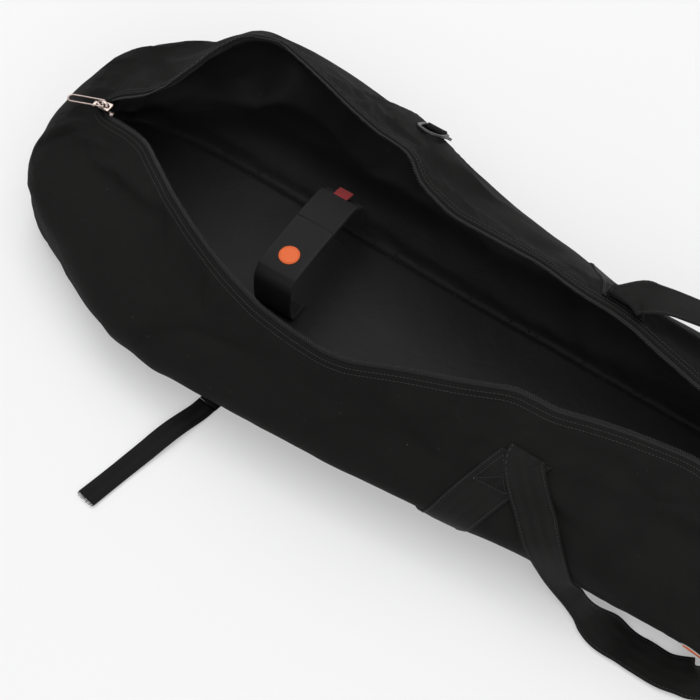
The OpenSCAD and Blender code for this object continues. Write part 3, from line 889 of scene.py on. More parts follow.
def base_sheet(name, high, low, mat, slot):
    """Sheet across the bottom, from the near wall's lower edge to the far wall's."""
    jn, jf = list(range(BASE_COLUMN, 0, -1)), list(range(0, BASE_COLUMN + 1))

    def across(n, f):
        return np.concatenate([n[:, jn], f[:, jf]], 1)

    points, normal = across(near.points, far.points), across(near.normal, far.normal)
    verts = np.concatenate([points + normal * across(high[-1], high[1])[..., None],
                            (points + normal * across(low[-1], low[1])[..., None])[:, ::-1]], 1)
    v = across(-(near.length[:, None] - near.down), far.length[:, None] - far.down)
    v = np.concatenate([v, v[:, ::-1]], 1) + 400.0
    u = np.repeat(STATIONS[:, None], verts.shape[1], 1)
    ob = loft(name, verts, np.stack([u, v], -1), mat)
    ride_slot(ob, "root", slot)
    return ob


def lining_relief(w):
    """How far the loose lining stands off the padding, towards the inside."""
    x, down, side = w.x, w.down, w.side
    r = 1.4 * (1 + value_noise(x, down, 120, 90, 51 + side))
    r = r + 1.0 * (1 + value_noise(x + 0.7 * down, down, 55, 42, 61 + side))
    r += 0.5 * (1 + value_noise(x - down, down, 24, 26, 71 + side))
    for crease in LINING_FOLDS[side]:
        r = r + fold(x, down, *crease)
    r = r * smoothstep(down / 30.0) * smoothstep((HALF - 6 - np.abs(x)) / 40.0)
    return r * (0.35 + 0.65 * smoothstep((w.angle + 86) / 30.0)) * (0.35 + 0.65 * w.calm)


def build_shell():
    high = {s: np.zeros(w.angle.shape) for s, w in WALLS.items()}
    low = {s: high[s] - THICK for s in WALLS}
    outer = {s: wall_sheet(LABEL[s] + "_wall_fabric", w, high[s], low[s], OUTER,
                           roll=True) for s, w in WALLS.items()}
    base = base_sheet("base_fabric", high, low, BASE, "outer_fabric")
    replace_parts(base, "base_panel")
    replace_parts(outer[-1], "near_tip_panel", "near_mid_panel", "tip_end_panel", "tail_end_panel")
    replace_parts(outer[1], "far_tip_panel", "far_mid_panel")


def build_lining():
    loose = {s: lining_relief(w) for s, w in WALLS.items()}
    high = {s: -(THICK + 0.35) - loose[s] for s in WALLS}
    low = {s: -(THICK + 1.15) - loose[s] for s in WALLS}
    for s, w in WALLS.items():
        label = LABEL[s]
        ob = wall_sheet(label + "_wall_lining", w, high[s], low[s], LINING,
                        roll=False)
        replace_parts(ob, label + "_tip_lining", label + "_mid_lining")
    ob = base_sheet("bottom_lining", high, low, LINING, "lining_fabric")
    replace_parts(ob, "base_lining")


build_shell()
build_lining()

# ---------------------------------------------------------------------------
# stitching
# ---------------------------------------------------------------------------
STITCH_SIDES = 6
STITCH_RINGS = [(0.14, 0.55), (0.5, 1.0), (0.86, 0.55)]     # share of the length, lift
STITCH_VERTS = 2 + STITCH_SIDES * len(STITCH_RINGS)


def stitch_mesh(name, start, end, normal, radius, mat=THREAD):
    """Short arched thread lengths from start to end, standing on a surface."""
    start, end, normal = (np.asarray(v, float) for v in (start, end, normal))
    count, sides = len(start), STITCH_SIDES
    across = unit(np.cross(unit(end - start), normal))
    turn = np.arange(sides) * 2 * np.pi / sides
    verts = [start[:, None]]
    for f, lift in STITCH_RINGS:
        centre = start + (end - start) * f + normal * (lift * radius * 0.5)
        verts.append(centre[:, None] + across[:, None] * (radius * np.cos(turn))[None, :, None]
                     + normal[:, None] * (radius * 0.8 * np.sin(turn))[None, :, None])
    verts = np.concatenate(verts + [end[:, None]], 1)
    one = []
    for j in range(sides):
        n = (j + 1) % sides
        one.append((0, 1 + n, 1 + j))
        for a in (1, 1 + sides):
            one.append((a + j, a + n, a + sides + n, a + sides + j))
        one.append((1 + 2 * sides + j, 1 + 2 * sides + n, 1 + 3 * sides))
    faces = [tuple(i * STITCH_VERTS + k for k in f) for i in range(count) for f in one]
    uv = np.zeros((count * STITCH_VERTS, 2))
    uv[:, 0] = np.tile(np.linspace(0, 3, STITCH_VERTS), count)
    return new_mesh(name, verts, faces, uv, mat)


def merge(parts):
    return [np.concatenate(column) for column in zip(*parts)]


def seam(w, points, off, pitch=3.7, length=2.6):
    """Start, end, normal and share of the threads along (x, down) points on a wall."""
    points = np.array(points, float)
    run = run_lengths(points)
    n = max(1, int(run[-1] / pitch))
    middle = (np.arange(n) + 0.5) * run[-1] / n
    start, n1, share1 = w.sample(*(np.interp(middle - length / 2, run, c) for c in points.T), off)
    end, n2, share2 = w.sample(*(np.interp(middle + length / 2, run, c) for c in points.T), off)
    return start, end, unit(n1 + n2), (share1 + share2) / 2


def wall_stitching(name, seams, radius):
    start, end, normal, share = merge(seams)
    ob = stitch_mesh(name, start, end, normal, radius)
    follow_wall(ob, np.repeat(share, STITCH_VERTS))


def crossed_box(corners):
    """Point pairs of a box's four edges and two diagonals."""
    a, b, c, d = corners
    return [(a, b), (b, c), (c, d), (d, a), (a, c), (b, d)]


def ribbon_stitching(name, line, width, curl, pitch, length, inset, lift, radius):
    """Thread along both edges of a ribbon, on both faces."""
    run = line.run

    def at(t, offset, face):
        i = np.clip(np.searchsorted(run, t) - 1, 0, len(run) - 2)
        f = ((t - run[i]) / (run[i + 1] - run[i]))[:, None]
        point, across, normal = (v[i] * (1 - f) + v[i + 1] * f for v in line[:3])
        normal = unit(normal)
        up = curl(t, offset * np.ones_like(t)) + face * lift
        return point + unit(across) * offset + normal * up[:, None], normal * face

    n = max(2, int(run[-1] / pitch))
    middle = (np.arange(n) + 0.5) * run[-1] / n
    parts = []
    for offset in (-width / 2 + inset, width / 2 - inset):
        for face in (1, -1):
            start, n1 = at(middle - length / 2, offset, face)
            end, n2 = at(middle + length / 2, offset, face)
            parts.append((start, end, unit(n1 + n2)))
    return stitch_mesh(name, *merge(parts), radius)

# ---------------------------------------------------------------------------
# zip edges
# ---------------------------------------------------------------------------
COIL_END = 788.0                  # |x| of the coil's ends
COIL_PITCH = 2.7
TAPE_THICK_OUT, TAPE_THICK_IN = 0.7, 0.6
# share of the way back to the fabric edge, offset
TAPE_PAST_EDGE = [(0.0, -1.5), (0.5, -1.35), (0.82, -1.5), (1.0, -2.3)]
# distance down, offset
TAPE_INSIDE = [(2.0, -THICK - 1.45), (6.0, -THICK - 1.6), (10.0, -THICK - 1.7),
               (13.5, -THICK - 1.75)]
TAPE_V = np.array([0, 2, 4, 6, 8.5, 12.5, 16.5, 20.0])


def zip_tape(w):
    """Tape sewn inside the edge and showing past it."""
    label = LABEL[w.side]
    xs = np.linspace(-APEX - 2, APEX + 2, 540)
    past = (np.maximum(rim_gap(xs), 0.6) - 2.1).clip(0.1)
    rows = [(-past * (1 - f), off, TAPE_THICK_OUT) for f, off in TAPE_PAST_EDGE]
    rows += [(down, off, TAPE_THICK_IN) for down, off in TAPE_INSIDE]
    top, under, shares = [], [], []
    for down, off, thick in rows:
        point, _, share = w.sample(xs, down, off)
        top.append(point)
        under.append(w.sample(xs, down, off - thick)[0])
        shares.append(share)
    verts = np.stack(top + under[::-1], 1)
    v = np.repeat(np.concatenate([TAPE_V, TAPE_V[::-1]])[None], len(xs), 0)
    u = np.repeat(xs[:, None], verts.shape[1], 1)
    ob = loft(label + "_zip_tape", verts, np.stack([u, v], -1), TAPE)
    follow_wall(ob, np.stack(shares + shares[::-1], 1))
    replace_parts(ob, label + "_tip_zip", label + "_mid_zip")


def zip_coil(w):
    turns = int(2 * COIL_END / COIL_PITCH)
    t = np.linspace(0, turns, turns * 9)
    xs = -COIL_END + 2 * COIL_END * t / turns
    centre, normal, share = w.sample(xs, -(rim_gap(xs) - 1.75).clip(0.3), -1.75)
    # the far coil is half a turn on, so the two mesh
    phase = 2 * np.pi * t + (np.pi if w.side > 0 else 0)
    rim = w.rim_dir[np.clip(np.searchsorted(STATIONS, xs), 0, len(STATIONS) - 1)]
    path = (centre + rim * (1.35 * np.cos(phase))[:, None]
            + normal * (1.05 * np.sin(phase))[:, None])
    sides = 5
    ob = tube(LABEL[w.side] + "_zip_coil", path, 0.42, COIL, sides=sides)
    follow_wall(ob, np.repeat(share, sides))


def edge_stitching(w):
    """Two rows outside on the fabric and two inside on the tape."""
    def row(down, off):
        return seam(w, [(-APEX + 2, down), (APEX - 2, down)], off)

    rows = [row(down, 0.12) for down in (3.6, 9.4)]
    for down in (5.0, 11.0):
        start, end, normal, share = row(down, -THICK - 2.45)
        rows.append((start, end, -normal, share))
    wall_stitching(LABEL[w.side] + "_edge_stitching", rows, 0.34)


for wall in WALLS.values():
    zip_tape(wall)
    zip_coil(wall)
    edge_stitching(wall)

# ---------------------------------------------------------------------------
# bands under the carry handles
# ---------------------------------------------------------------------------
BAND_WIDTH = 50.0
BAND_FOOT = -24                   # section angle of a band's foot
NEAR_BAND_X, NEAR_BAND_TOP = 154, 77      # |x| and section angle of its top
FAR_BAND_X, FAR_BAND_TOP = 163, 88


def band(name, w, x_top, slant, top_angle):
    """Slanting webbing sewn up the wall; slant is how far its foot lies towards -X."""
    foot = w.down_at_angle(x_top - slant, BAND_FOOT)
    top = w.down_at_angle(x_top, top_angle)
    slope = slant / (foot - top)
    wide = math.hypot(1.0, slope)
    n = 64
    f = np.linspace(0, 1, n)
    down = foot + (top - foot) * f
    centre = x_top - slant * (1 - f)
    prof = ribbon_profile(BAND_WIDTH, 1.7, 14)
    columns = [w.sample(centre + across * wide, down, 1.05 + up) for across, up in prof]
    uv = np.stack([np.repeat((foot - down)[:, None], len(prof), 1),
                   np.repeat(prof[None, :, 0] + BAND_WIDTH / 2, n, 0)], -1)
    ob = loft(name, np.stack([c[0] for c in columns], 1), uv, WEB)
    follow_wall(ob, np.stack([c[2] for c in columns], 1))

    def place(off_centre, at_down):
        return x_top - slope * (at_down - top) + off_centre, at_down

    def row(a, b, off=2.0):
        return seam(w, [a, b], off, pitch=3.4, length=2.4)

    lines = []
    for edge in (-22.3 * wide, 22.3 * wide):
        lines.append(row((place(edge, foot)[0], foot - 2), place(edge, top + 4)))
    high, low = top + 6.0, top + 44.0
    pairs = crossed_box([place(-19, high), place(19, high), place(19, low), place(-19, low)])
    lines += [row(a, b) for a, b in pairs[:4]]
    lines += [row(a, b, 2.05) for a, b in pairs[4:]]
    wall_stitching(name + "_stitching", lines, 0.36)
    return ob


near_band = band("near_band_tip", near, -NEAR_BAND_X, 82, NEAR_BAND_TOP)
band("near_band_tail", near, NEAR_BAND_X, -82, NEAR_BAND_TOP)
far_band = band("far_band_tip", far, -FAR_BAND_X, 84, FAR_BAND_TOP)
band("far_band_tail", far, FAR_BAND_X, -84, FAR_BAND_TOP)
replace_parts(near_band, "near_handle_bands")
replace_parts(far_band, "far_handle_bands")

# ---------------------------------------------------------------------------
# carry handles
# ---------------------------------------------------------------------------


def carry_loop(name, stations, width, replaced, root=26.0):
    """Handle through (point, width direction) stations.
    """
    def cup(run, across):
        return 1.3 * (across / 23.0) ** 2 * np.sin(np.pi * run / run.max()) ** 0.5

    path, across = zip(*stations)
    ob, line = ribbon(name, path, across, width, 1.8, WEB, step=3.0, curl=cup, columns=12)

    def hinge(part):
        co = np.array([v.co for v in part.data.vertices]) / MM
        dist2 = ((co[:, None, :] - line.points[None, ::2, :]) ** 2).sum(-1)
        run = line.run[::2][np.argmin(dist2, axis=1)]
        weights = smoothstep(np.minimum(run, line.run[-1] - run) / root)
        set_blend(part, weights)

    hinge(ob)
    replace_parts(ob, replaced)
    hinge(ribbon_stitching(name + "_stitching", line, width, cup, pitch=3.6, length=2.4,
                           inset=3.0, lift=0.98, radius=0.34))


def near_handle_stations():
    """From the tip band down the side, along the floor and up to the tail band."""
    top, band_x = near.down_at_angle(-NEAR_BAND_X, NEAR_BAND_TOP), NEAR_BAND_X

    def on(x, down, off):
        return near.sample(x, down, off)[0]

    def along(x0, down0, x1, down1):
        return unit(on(x1, down1, 0.0) - on(x0, down0, 0.0))

    return [
        (on(-band_x, top - 7, 2.7), (1, 0, 0)),
        (on(-band_x, top - 2, 4.4), (1, 0, 0)),
        (on(-152, top + 6, 5.6), (1, 0, 0)),
        (on(-138, 80, 6.5), along(-162, 84, -114, 77)),
        (on(-119, 110, 6.5), along(-142, 115, -96, 105)),
        (on(-98, 137, 6.0), along(-118, 147, -78, 129)),
        ((-78, -177, 48), (.8, .04, .6)),
        ((-57, -176, 28), (.36, .16, .92)),
        ((-33, -184, 23), (.1, .36, .93)),
        ((8, -183, 2.6), (-0.02, 1.00, 0)),
        ((35, -184, 2.6), (-0.02, 1.00, 0)),
        ((60, -184, 2.6), (-0.01, 1.00, 0)),
        ((82, -180, 8), (-.1, .95, .28)),
        ((102, -181, 24), (-.34, .18, .93)),
        ((120, -179.5, 46), (-.72, .12, .68)),
        (on(133, 140, 6.0), along(152, 148, 114, 131)),
        (on(143, 112, 6.5), along(166, 114, 120, 108)),
        (on(150, 82, 6.5), (-1, 0, 0)),
        (on(153, top + 6, 5.6), (-1, 0, 0)),
        (on(band_x, top - 2, 4.4), (-1, 0, 0)),
        (on(band_x, top - 7, 2.7), (-1, 0, 0)),
    ]


def far_handle_stations():
    """Standing loop over the far wall, the same towards tip and tail."""
    top = far.down_at_angle(-FAR_BAND_X, FAR_BAND_TOP)
    half = [(far.sample(-FAR_BAND_X, top + down, off)[0], across) for down, off, across in (
        (9, 2.6, (1, 0, 0)), (2, 4.2, (1, 0, 0)), (-1, 9.5, (1, -.05, 0)))]
    half += [
        ((-153, 91, 172.5), (.93, -.35, .08)), ((-138, 97, 175.5), (.72, -.66, .18)),
        ((-120, 103, 176), (.45, -.86, .28)), ((-95, 109, 173.5), (.2, -.92, .34)),
        ((-50, 117, 171), (.06, -.92, .38)), ((0, 120, 168), (0, -.92, .38))]
    return half + [((-p[0], p[1], p[2]), (-a[0], a[1], a[2])) for p, a in half[-2::-1]]


carry_loop("near_carry_loop", near_handle_stations(), 43.0,
           "near_handle")
carry_loop("far_carry_loop", far_handle_stations(), 44.0,
           "far_handle", root=70.0)

# ---------------------------------------------------------------------------
# D-rings and their tabs on the far wall
# ---------------------------------------------------------------------------
RING_BAR = 4.0                    # bar diameter
RING_R = 27 / 2 + RING_BAR / 2    # centre line radius, from the inner width
RING_Y = 107.0                    # y of the straight bar on the closed bag
RING_DEPTH = 14.0                 # length of the straight flanks
RING_TILT = math.radians(-5.0)
TAB_END_Y = RING_Y + 25.0


def ring_centre(x):
    """Middle of the straight bar, on the closed bag."""
    width = float(np.interp(x, *np.array(WIDTH[1], float).T))
    top = MID_Z + MID_Z * (1 - (RING_Y / width) ** SECTION_POWER) ** (1 / SECTION_POWER)
    return np.array([x, RING_Y, top + RING_BAR / 2 + 2.1])


def d_ring(label, centre, angle):
    flat = [(RING_R * t, 0.0) for t in np.linspace(-1, 1, 25)[:-1]]
    flat += [(RING_R, -RING_DEPTH * t) for t in np.linspace(0, 1, 7)[:-1]]
    flat += [(RING_R * math.cos(t), -RING_DEPTH - RING_R * math.sin(t))
             for t in np.linspace(0, np.pi, 40)[:-1]]
    flat += [(-RING_R, -RING_DEPTH * t) for t in np.linspace(1, 0, 7)[:-1]]
    flat = smooth_loop(np.array(flat), 3)
    cos, sin = math.cos(RING_TILT), math.sin(RING_TILT)
    path = open_point(np.stack([flat[:, 0], flat[:, 1] * cos, flat[:, 1] * sin], -1) + centre,
                      1, angle)
    up = open_direction((0, -sin, cos), 1, angle)
    tangent = unit(np.roll(path, -1, 0) - np.roll(path, 1, 0))
    across = unit(np.cross(np.broadcast_to(up, tangent.shape), tangent))
    # the straight bar is narrower than the rest
    width = smooth_loop(np.where(np.abs(flat[:, 1]) < 1.2, 1.95, 2.45), 4)
    sides = 16
    turn = np.linspace(0, 2 * np.pi, sides, endpoint=False)
    px, pz = (np.sign(c) * np.abs(c) ** 0.62 for c in (np.cos(turn), np.sin(turn)))
    verts = (path[:, None] + across[:, None] * (width[:, None] * px[None])[..., None]
             + up[None, None] * (pz * 1.95)[None, :, None])
    n = len(path)
    ob = solid(label + "_dring_visual", verts, grid_faces(n, sides, wrap=True, close=True),
               np.zeros((n * sides, 2)), PLASTIC)
    ride_slot(ob, label + "_ring", "ring_plastic", label + "_d_ring")


def ring_tab(label, centre, angle, wall_body):
    """Webbing folded round the ring's straight bar, its two layers sewn to the wall."""
    x = centre[0]

    def on_top(y, off):
        return far.sample(x, far.down_at_top(x, y), off)[0]

    lower = [on_top(y, 1.0) for y in np.linspace(TAB_END_Y, RING_Y + 4.5, 6)]
    middle = open_point(centre, 1, angle)
    radius = 3.05
    fold_y = open_direction((0, 1.0, 0), 1, angle)
    fold_z = open_direction((0, 0, 1.0), 1, angle)
    bend = [middle + fold_y * (radius * math.cos(a)) + fold_z * (radius * math.sin(a))
            for a in np.radians([-62, -100, -140, -180, -220, -260, -298])]
    upper = [on_top(y, 2.75 + 1.5 * (1 - (y - RING_Y - 5.0) / (TAB_END_Y - 6.0 - RING_Y)) ** 2)
             for y in np.linspace(RING_Y + 5.0, TAB_END_Y - 1.0, 6)]
    path = lower + bend + upper
    ob, _ = ribbon(label + "_ring_loop", path, [(1.0, 0, 0)] * len(path), 24.5, 1.45,
                   WEB_NARROW, step=1.2, columns=8)
    ride_slot(ob, wall_body, "webbing", label + "_ring_tab")


def ring_stitching(label, x, wall_body):
    """Crossed box through both layers of the tab."""
    low, high = far.down_at_top(x, RING_Y + 8), far.down_at_top(x, TAB_END_Y - 3)
    parts = []
    for a, b in crossed_box([(x - 10, low), (x + 10, low), (x + 10, high), (x - 10, high)]):
        dx, dd = b[0] - a[0], b[1] - a[1]
        k = max(2, int(math.hypot(dx, dd) / 3.0))
        t0, t1 = (np.arange(k) + 0.12) / k, (np.arange(k) + 0.88) / k
        start, n1, _ = far.sample(a[0] + dx * t0, a[1] + dd * t0, 3.65)
        end, n2, _ = far.sample(a[0] + dx * t1, a[1] + dd * t1, 3.65)
        parts.append((start, end, unit(n1 + n2)))
    ride_slot(stitch_mesh(label + "_ring_stitching", *merge(parts), 0.33), wall_body, "webbing")


for label, ring_x, degrees, wall_body in (("tip", -469.0, 38.0, "far_tip_wall"),
                                          ("tail", 469.0, 23.0, "far_mid_wall")):
    centre = ring_centre(ring_x)
    angle = math.radians(degrees)
    d_ring(label, centre, angle)
    ring_tab(label, centre, angle, wall_body)
    ring_stitching(label, ring_x, wall_body)

# ---------------------------------------------------------------------------
# slider, pull and stops
# ---------------------------------------------------------------------------
SLIDER_X = -790.0
PULL_Z = 137.2
PULL_LENGTH = 42.0
PULL_HALF_WIDTH = 4.6
PULL_TURN = math.radians(21)
STOP_X = 804.3


def metal_plate(name, outline, z0, z1, bevel, x0=SLIDER_X, y0=0):
    """Outline moved to x0, y0, raised from z0 to z1, with its edges bevelled."""
    bm = bmesh.new()
    face = bm.faces.new([bm.verts.new(((x + x0) * MM, (y + y0) * MM, z0 * MM))
                         for x, y in outline])
    grown = bmesh.ops.extrude_face_region(bm, geom=[face])["geom"]
    for v in grown:
        if isinstance(v, bmesh.types.BMVert):
            v.co.z = z1 * MM
    bmesh.ops.recalc_face_normals(bm, faces=bm.faces)
    me = bpy.data.meshes.new(name)
    bm.to_mesh(me)
    bm.free()
    me.materials.append(METAL)
    ob = link_object(name, me)
    bevel_edges(ob, bevel)
    keep_sharp(ob, 40)
    return ob


def bevel_edges(ob, width):
    mod = ob.modifiers.new("Bevel", "BEVEL")
    mod.width = width * MM
    mod.segments = 3
    mod.limit_method = "ANGLE"
    mod.angle_limit = math.radians(30)
    depsgraph = bpy.context.evaluated_depsgraph_get()
    depsgraph.update()
    me = bpy.data.meshes.new_from_object(ob.evaluated_get(depsgraph),
                                         preserve_all_data_layers=True, depsgraph=depsgraph)
    ob.modifiers.clear()
    ob.data = me


def keep_sharp(ob, degrees):
    """Smooth shading with edges over an angle kept hard."""
    bm = bmesh.new()
    bm.from_mesh(ob.data)
    for e in bm.edges:
        if len(e.link_faces) == 2 and e.calc_face_angle(0) > math.radians(degrees):
            e.smooth = False
    for f in bm.faces:
        f.smooth = True
    bm.to_mesh(ob.data)
    bm.free()


def shield(length, nose_width, tail_width, corner=2.0):
    """Slider-plate outline: round nose towards -X, two rounded corners towards +X."""
    points = []
    nose = nose_width / 2 * 0.75
    for a in np.radians(np.linspace(90, 270, 10)):
        points.append((-length / 2 + nose + math.cos(a) * nose, math.sin(a) * nose_width / 2))
    for sign, start, end in ((-1, -80, 0), (1, 0, 80)):
        for a in np.radians(np.linspace(start, end, 6)):
            points.append((length / 2 - corner + corner * math.cos(a),
                           sign * (tail_width / 2 - corner) + corner * math.sin(a)))
    return points[::-1]


def slider():
    """Two plates, the post between them, two lips and the arched bridge on top."""
    post = [(-6.5, -0.7), (-3, -1.0), (6, -0.5), (6, 0.5), (-3, 1.0), (-6.5, 0.7)]
    parts = [metal_plate("s1", shield(18, 8.0, 12.0), 133.2, 135.3, 0.55),
             metal_plate("s2", shield(18, 7.6, 11.0), 119.0, 120.8, 0.5),
             metal_plate("s3", post, 120.0, 134.0, 0.25)]
    for s in (-1, 1):
        lip = [(-7.5, s * 5.55), (7.2, s * 5.75), (7.2, s * 4.9), (-7.5, s * 4.7)][::s]
        parts.append(metal_plate("lip", lip, 131.6, 133.8, 0.25))
    arch = [(SLIDER_X - 6.4 * math.cos(a), 0.0, 135.0 + 4.9 * (math.sin(a) ** 0.62))
            for a in (math.pi * t for t in np.linspace(0, 1, 22))]
    arch = arch[::2] + [arch[-1]]
    bridge, _ = ribbon("s4", arch, [(0, 1, 0)] * len(arch), 3.2, 1.15, METAL, step=0.7,
                       columns=4)
    ob = join("slider_body", parts + [bridge], METAL)
    ride_slot(ob, "slider", "zip_metal", "zip_slider")


def pull():
    """Long wire loop lying back towards -X, turned a little and drooping."""
    half = PULL_HALF_WIDTH
    straight = PULL_LENGTH - half
    loop = [(0.0, t * half) for t in np.linspace(-1, 1, 9)[:-1]]
    loop += [(-t * straight, half) for t in np.linspace(0, 1, 20)[:-1]]
    loop += [(-straight + half * math.cos(a), half * math.sin(a))
             for a in np.radians(np.linspace(90, 270, 18)[:-1])]
    loop += [(-t * straight, -half) for t in np.linspace(1, 0, 20)[:-1]]
    x, y = smooth_loop(np.array(loop), 2, weight=3).T
    droop = -0.9 * (np.clip(-x, 0, 99) / PULL_LENGTH) ** 2
    cos, sin = math.cos(PULL_TURN), math.sin(PULL_TURN)
    wire = np.stack([SLIDER_X + x * cos - y * sin, x * sin + y * cos, PULL_Z + droop], -1)
    ob = tube("pull_wire", wire, 0.92, METAL, sides=12, closed=True, flat=0.78)
    ride_slot(ob, "pull", "zip_metal", "zip_pull")


def rectangle(half_x, half_y, y=0.0):
    return [(-half_x, y - half_y), (half_x, y - half_y), (half_x, y + half_y),
            (-half_x, y + half_y)]


def stop_clamp(label, x0):
    """Small staple across the end of the zip, with a leg on each side."""
    parts = [metal_plate("st1", rectangle(1.8, 4.0), 126.0, 127.5, 0.5, x0)]
    for s in (-1, 1):
        leg = rectangle(1.6, 0.55, s * 4.0)
        parts.append(metal_plate("st2", leg, 123.6, 127.0, 0.3, x0, -s * 0.3))
    ob = join(label + "_stop_clamp", parts, METAL)
    ride_slot(ob, "root", "zip_metal", label + "_zip_stop")


slider()
pull()
stop_clamp("tip", -STOP_X)
stop_clamp("tail", STOP_X)

# ---------------------------------------------------------------------------
# inner strap across the bag, with its red tab and round patch
# ---------------------------------------------------------------------------
STRAP_X = -524.0
STRAP_WIDTH = 50.0
# y, z of the strap's centre line
FAR_YZ = [(70, 7.2), (88, 7.6), (95, 14), (97, 30), (96, 48), (90, 63), (76, 72), (52, 75.5),
          (28, 76), (0, 76)]
NEAR_YZ = [(-26, 7.2), (-44, 7.6), (-52, 14), (-55, 30), (-55, 48), (-53, 63), (-46, 73),
           (-36, 78.4), (6, 80.6), (30, 80.8)]
END_YZ = [(30.6, 80.85), (40, 81.1), (48, 81), (64, 80.2), (78, 78)]
# the red tab: distance along and height above its fold line
RED_TAB = [(-1.0, 0.75), (4, 0.85), (9, 0.7), (12.6, 0.35), (13.3, -0.1), (12.6, -0.55),
           (9, -0.75), (4, -0.8)]


def strap_ribbon(name, yz, width, thick, mat, **options):
    return ribbon(name, [(STRAP_X, y, z) for y, z in yz], [(1, 0, 0)] * len(yz), width, thick,
                  mat, **options)


def inner_strap(name, yz, body, node):
    def cup(run, across):
        return 0.5 * (across / 25.0) ** 2 + 0.25 * np.sin(run / 17.0 + across / 13.0)

    ob, line = strap_ribbon(name, yz, STRAP_WIDTH, 1.6, STRAP, step=2.6, curl=cup, columns=14)
    ride_slot(ob, body, "strap_fabric", node)
    threads = ribbon_stitching(name + "_stitching", line, STRAP_WIDTH, cup, pitch=3.4,
                               length=2.2, inset=2.6, lift=0.86, radius=0.3)
    ride_slot(threads, body, "strap_fabric")


def red_tab():
    tilt = math.radians(-14)
    cos, sin = math.cos(tilt), math.sin(tilt)
    yz = [(79 + d * cos - h * sin, 77.7 + d * sin + h * cos) for d, h in RED_TAB]
    ob, _ = strap_ribbon("red_pull_tab", yz, 18.0, 0.75, RED, step=1.0, columns=6)
    ride_slot(ob, "strap_end", "red_tape", "inner_strap_pull")


def patch_point(r, a, z):
    """Point of the slightly warped, tilted round patch, from radius, angle and height."""
    tilt = math.radians(3.0)
    y, z = r * np.sin(a), z + 0.15 * np.sin(2 * a + 0.6) * (r / 12.0) ** 2
    return np.stack([STRAP_X + r * np.cos(a), -20 + y * math.cos(tilt) - z * math.sin(tilt),
                     80.15 + y * math.sin(tilt) + z * math.cos(tilt)], -1)


def round_patch():
    sides = 64
    turn = np.arange(sides) * 2 * np.pi / sides
    # radius, height
    rings = [(r * 11.4, 1.2 - 0.10 * r ** 4) for r in np.linspace(0, 1, 9)[1:]]
    rings += [(11.8, 0.85), (12.0, 0.4), (11.85, -0.05)]
    n = len(rings)
    verts = np.vstack([patch_point(0.0, 0.0, 1.25)] + [patch_point(r, turn, z) for r, z in rings])
    uv = np.vstack([(0, 0)] + [np.stack([r * np.cos(turn), r * np.sin(turn)], -1)
                               for r, _ in rings])
    faces = [(0, 1 + k, 1 + (k + 1) % sides) for k in range(sides)]
    faces += [tuple(i + 1 for i in f) for f in grid_faces(n, sides, flip=True, wrap=True)]
    faces.append(tuple(range(1 + (n - 1) * sides, 1 + n * sides)))
    ob = solid("round_patch", verts, faces, uv, ORANGE)
    ride_slot(ob, "root", "orange_patch", "inner_strap_patch")
    ends = np.linspace(0, 2 * np.pi, 34)
    start = patch_point(10.2, ends[:-1] + 0.02, 1.28)
    end = patch_point(10.2, ends[1:] - 0.045, 1.28)
    thread = plain("orange_thread", (0.50, 0.07, 0.012), (0.70, 0.12, 0.02), rough=0.55,
                   scale=300.0, bump=0.5)
    ob = stitch_mesh("round_patch_stitching", start, end, np.tile([0, 0, 1.0], (len(start), 1)),
                     0.26, thread)
    ride_slot(ob, "root", "orange_patch")


inner_strap("load_strap_far", FAR_YZ, "root", "inner_strap_far")
inner_strap("load_strap_near", NEAR_YZ, "root", "inner_strap_near")
inner_strap("load_strap_end", END_YZ, "strap_end", "inner_strap_end")
red_tab()
round_patch()

# ---------------------------------------------------------------------------
# loose lash strap on the floor beside the near wall
# ---------------------------------------------------------------------------
LASH_WIDTH, LASH_THICK = 25.0, 1.5
LASH_ROOT = [(-507, -136, 1.3), (-508, -141, 1.3), (-512, -165, 1.35), (-516, -188.6, 1.4)]
LASH_ROOT_ACROSS = [(1, 0, 0), (1, 0, 0), (1, -.15, 0), (1, -.15, 0)]
LASH = [(-516.1, -189.2, 1.45), (-518, -202, 1.9), (-521, -215, 3.2), (-524.5, -230, 5.2),
        (-528, -245, 6), (-531.5, -260, 5.2), (-535, -275, 3.6), (-542, -305, 1.6),
        (-548, -335, 1.5), (-552.4, -358.5, 2.3)]


def lash_curl(run, across):
    wave = 0.55 * np.sin(run / 21.0 + across / 9.0) * (np.abs(across) / 12.5) ** 2
    return wave + 0.35 * (across / 12.5) ** 2


def frayed_end(line, count=46):
    """Loose yarns at the end of the strap."""
    rnd = np.random.RandomState(5)
    across, normal = line.across[-1], line.normal[-1]
    ahead = unit(line.points[-1] - line.points[-4])
    yarns = []
    for k in range(count):
        place = -12.0 + 24.0 * k / (count - 1)
        length = 2.0 + 3.2 * rnd.rand()
        sideways = rnd.uniform(-1.1, 1.1)
        reach = ahead * length + across * sideways + np.array([0, 0, rnd.uniform(-0.9, 0.7)])
        lift = lash_curl(line.run[-1], place) + rnd.uniform(-0.4, 0.4)
        root = line.points[-1] + across * place + normal * lift - ahead * 0.8
        path = [root, root + reach * 0.55 + np.array([0, 0, 0.15]), root + reach]
        yarns.append(tube("t", path, 0.22, THREAD, sides=5))
    ride_slot(join("lash_frayed_end", yarns, THREAD), "lash", "webbing")


lash_root, _ = ribbon("lash_root_webbing", LASH_ROOT, LASH_ROOT_ACROSS, LASH_WIDTH, LASH_THICK,
                      WEB_NARROW, step=2.6)
ride_slot(lash_root, "root", "webbing", "lash_strap_root")
lash, lash_line = ribbon("lash_webbing", LASH, [(1, -.22, 0)] * len(LASH), LASH_WIDTH,
                         LASH_THICK, WEB_NARROW, step=2.6, curl=lash_curl)
ride_slot(lash, "lash", "webbing", "lash_strap")
frayed_end(lash_line)

